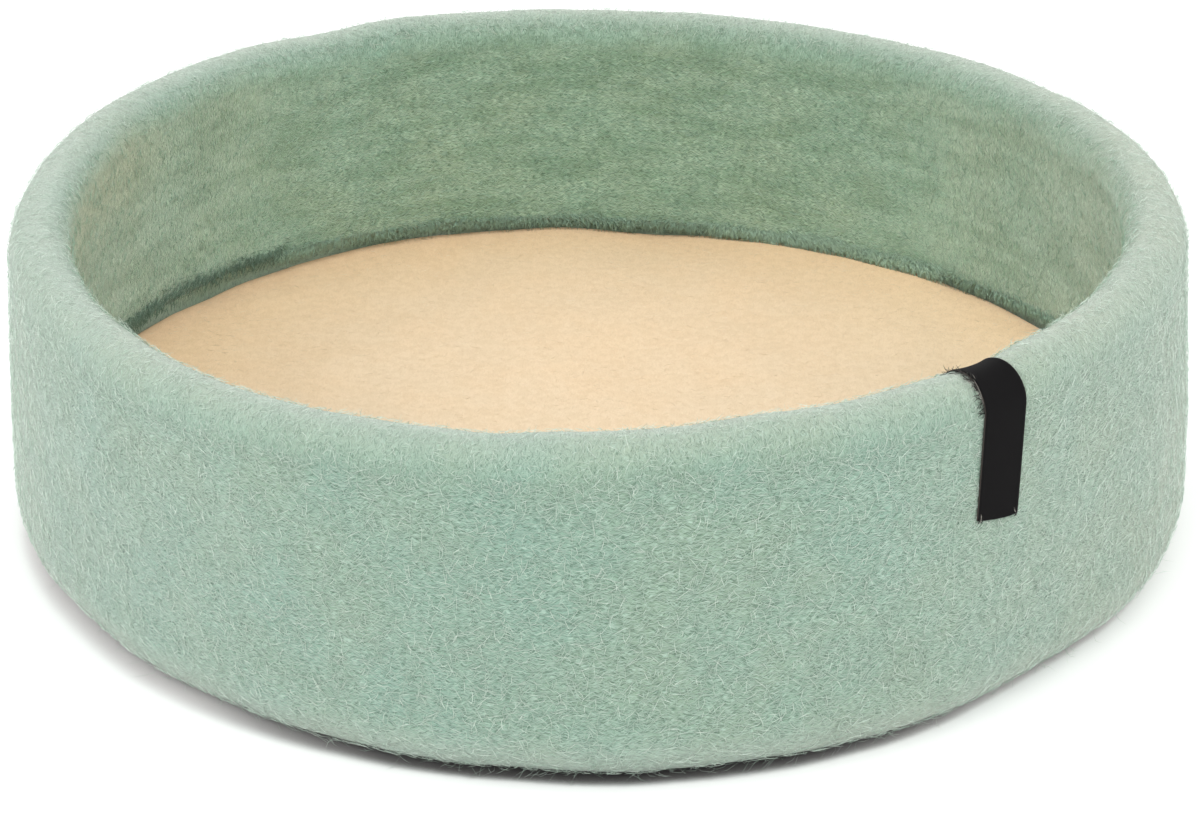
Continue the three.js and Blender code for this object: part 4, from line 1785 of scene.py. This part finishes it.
def shell_fibres(shell: Shell) -> list[Lay]:
    """The bunches of loose fibres on the shell, by the stretches of its section.

    Args:
        shell: the shell.

    Returns:
        The lays.
    """
    foot, wall, rim = (shell.starts[stretch] for stretch in (Stretch.FOOT, Stretch.WALL, Stretch.RIM))
    inside, cuff = shell.starts[Stretch.INSIDE], shell.starts[Stretch.GROOVE_TOP]
    low = (foot + wall) / 2 - 0.006
    return [
        Lay("front_fibres", 31, 15800, (low, rim), angle=(180, 360), flyaway=0.0005),
        Lay("back_fibres", 32, 15800, (low, rim), angle=(0, 180), flyaway=0.0005),
        Lay("rim_fibres", 33, 12000, (rim - 0.006, inside - 0.007), heading=70, spread=75, swirl=60,
            length=(0.0025, 0.007), width=(0.0001, 0.0002), lift=(0.0001, 0.0006), flyaway=0.0012,
            tone=(0.15, 1)),
        Lay("inner_side_fibres", 34, 10500, (inside - 0.012, cuff - 0.007), angle=(130, 410), heading=90,
            spread=45, swirl=35, length=(0.003, 0.007), tone=(0, 0.5), place=Place.INNER),
        Lay("inner_back_fibres", 35, 4200, (inside - 0.012, cuff - 0.007), angle=(50, 130), heading=0,
            spread=45, swirl=35, length=(0.003, 0.007), tone=(0, 0.5), place=Place.INNER),
        Lay("foot_hairs", 36, 900, (foot + 0.010, foot + 0.019), heading=-90, spread=50, swirl=10,
            length=(0.005, 0.011), width=(0.0001, 0.00016), lift=(0.0002, 0.0006), arch=0.0004,
            flyaway=0.006, straight=True),
        Lay("crease_fibres", 37, 5600, (cuff - 0.009, cuff - 0.0055), angle=(-30, 132), heading=90,
            spread=30, swirl=20, length=(0.004, 0.0075), width=(0.0002, 0.00034), joints=3, curl=30,
            lift=(0, 0.0004), flyaway=0.0004, straight=True, tone=(0, 0.5), place=Place.INNER),
        # Painted light: paler fibres that lift the crease's shade at the right of the back.
        Lay("painted_light_crease_fibres", 38, 1800, (cuff - 0.010, cuff - 0.0055), angle=(46, 76), heading=90,
            spread=30, swirl=20, length=(0.004, 0.008), width=(0.0002, 0.0003), joints=3, curl=30,
            lift=(0.0001, 0.0006), flyaway=0.0004, straight=True, tone=(0.3, 0.9), place=Place.INNER),
        # Painted shade: dark fibres along the crease at the left.
        Lay("painted_shade_crease_fibres", 39, 3600, (cuff - 0.0115, cuff - 0.005), angle=(130, 200), heading=90,
            spread=35, swirl=25, length=(0.003, 0.0058), width=(0.00018, 0.0003), joints=3, curl=40,
            lift=(0, 0.0005), flyaway=0.0004, straight=True, place=Place.CREASE),
    ]


def pad_fibres(pad: Pad) -> Lay:
    """The short loose fibres on the pad.

    Args:
        pad: the pad.

    Returns:
        The lay.
    """
    return Lay(
        "pad_fibres", 41, 7000, (pad.top_start - 0.004, float(pad.skin.travel[-1])), spread=180, swirl=0,
        length=(0.003, 0.008), width=(0.0001, 0.00018), joints=3, lift=(0, 0.00005), arch=0.00003)


def shell_offset(shell: Shell) -> Array:
    """How far the frame's origin, the middle of the outline, puts the basket's axis off.

    Args:
        shell: the shell, with its skin round the axis.

    Returns:
        The way from the origin to the axis, level.
    """
    low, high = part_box("felt_shell")
    points = shell.skin.points
    middle = (np.array(low) + np.array(high)) / 2 - (points.min((0, 1)) + points.max((0, 1))) / 2
    return np.array([middle[0], middle[1], 0])


def main() -> None:
    """Builds the basket and its studio."""
    logging.basicConfig(level=logging.INFO, format="%(name)s %(message)s")
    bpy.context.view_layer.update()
    shell, pad = Shell(), Pad()
    middle = shell_offset(shell)
    label = Label(offset=middle)
    Photograph().build(Vector((middle[0], middle[1], 0)))
    shell.skin.points += middle
    pad.skin.points += middle
    shell.build(GREEN.material())
    pad.build(CREAM.material())
    label.build(RIBBON.material(), THREAD.material())
    wool = {
        Place.OUTER: GREEN_FIBRES.material(), Place.INNER: INNER_FIBRES.material(),
        Place.CREASE: PAINTED_SHADE_FIBRES.material()}
    for lay in shell_fibres(shell):
        Fibres(lay, shell.skin).build(wool[lay.place], "green_felt")
    Fibres(pad_fibres(pad), pad.skin).build(CREAM_FIBRES.material(), "cream_felt")
    Studio().build()


if __name__ == "__main__":
    main()
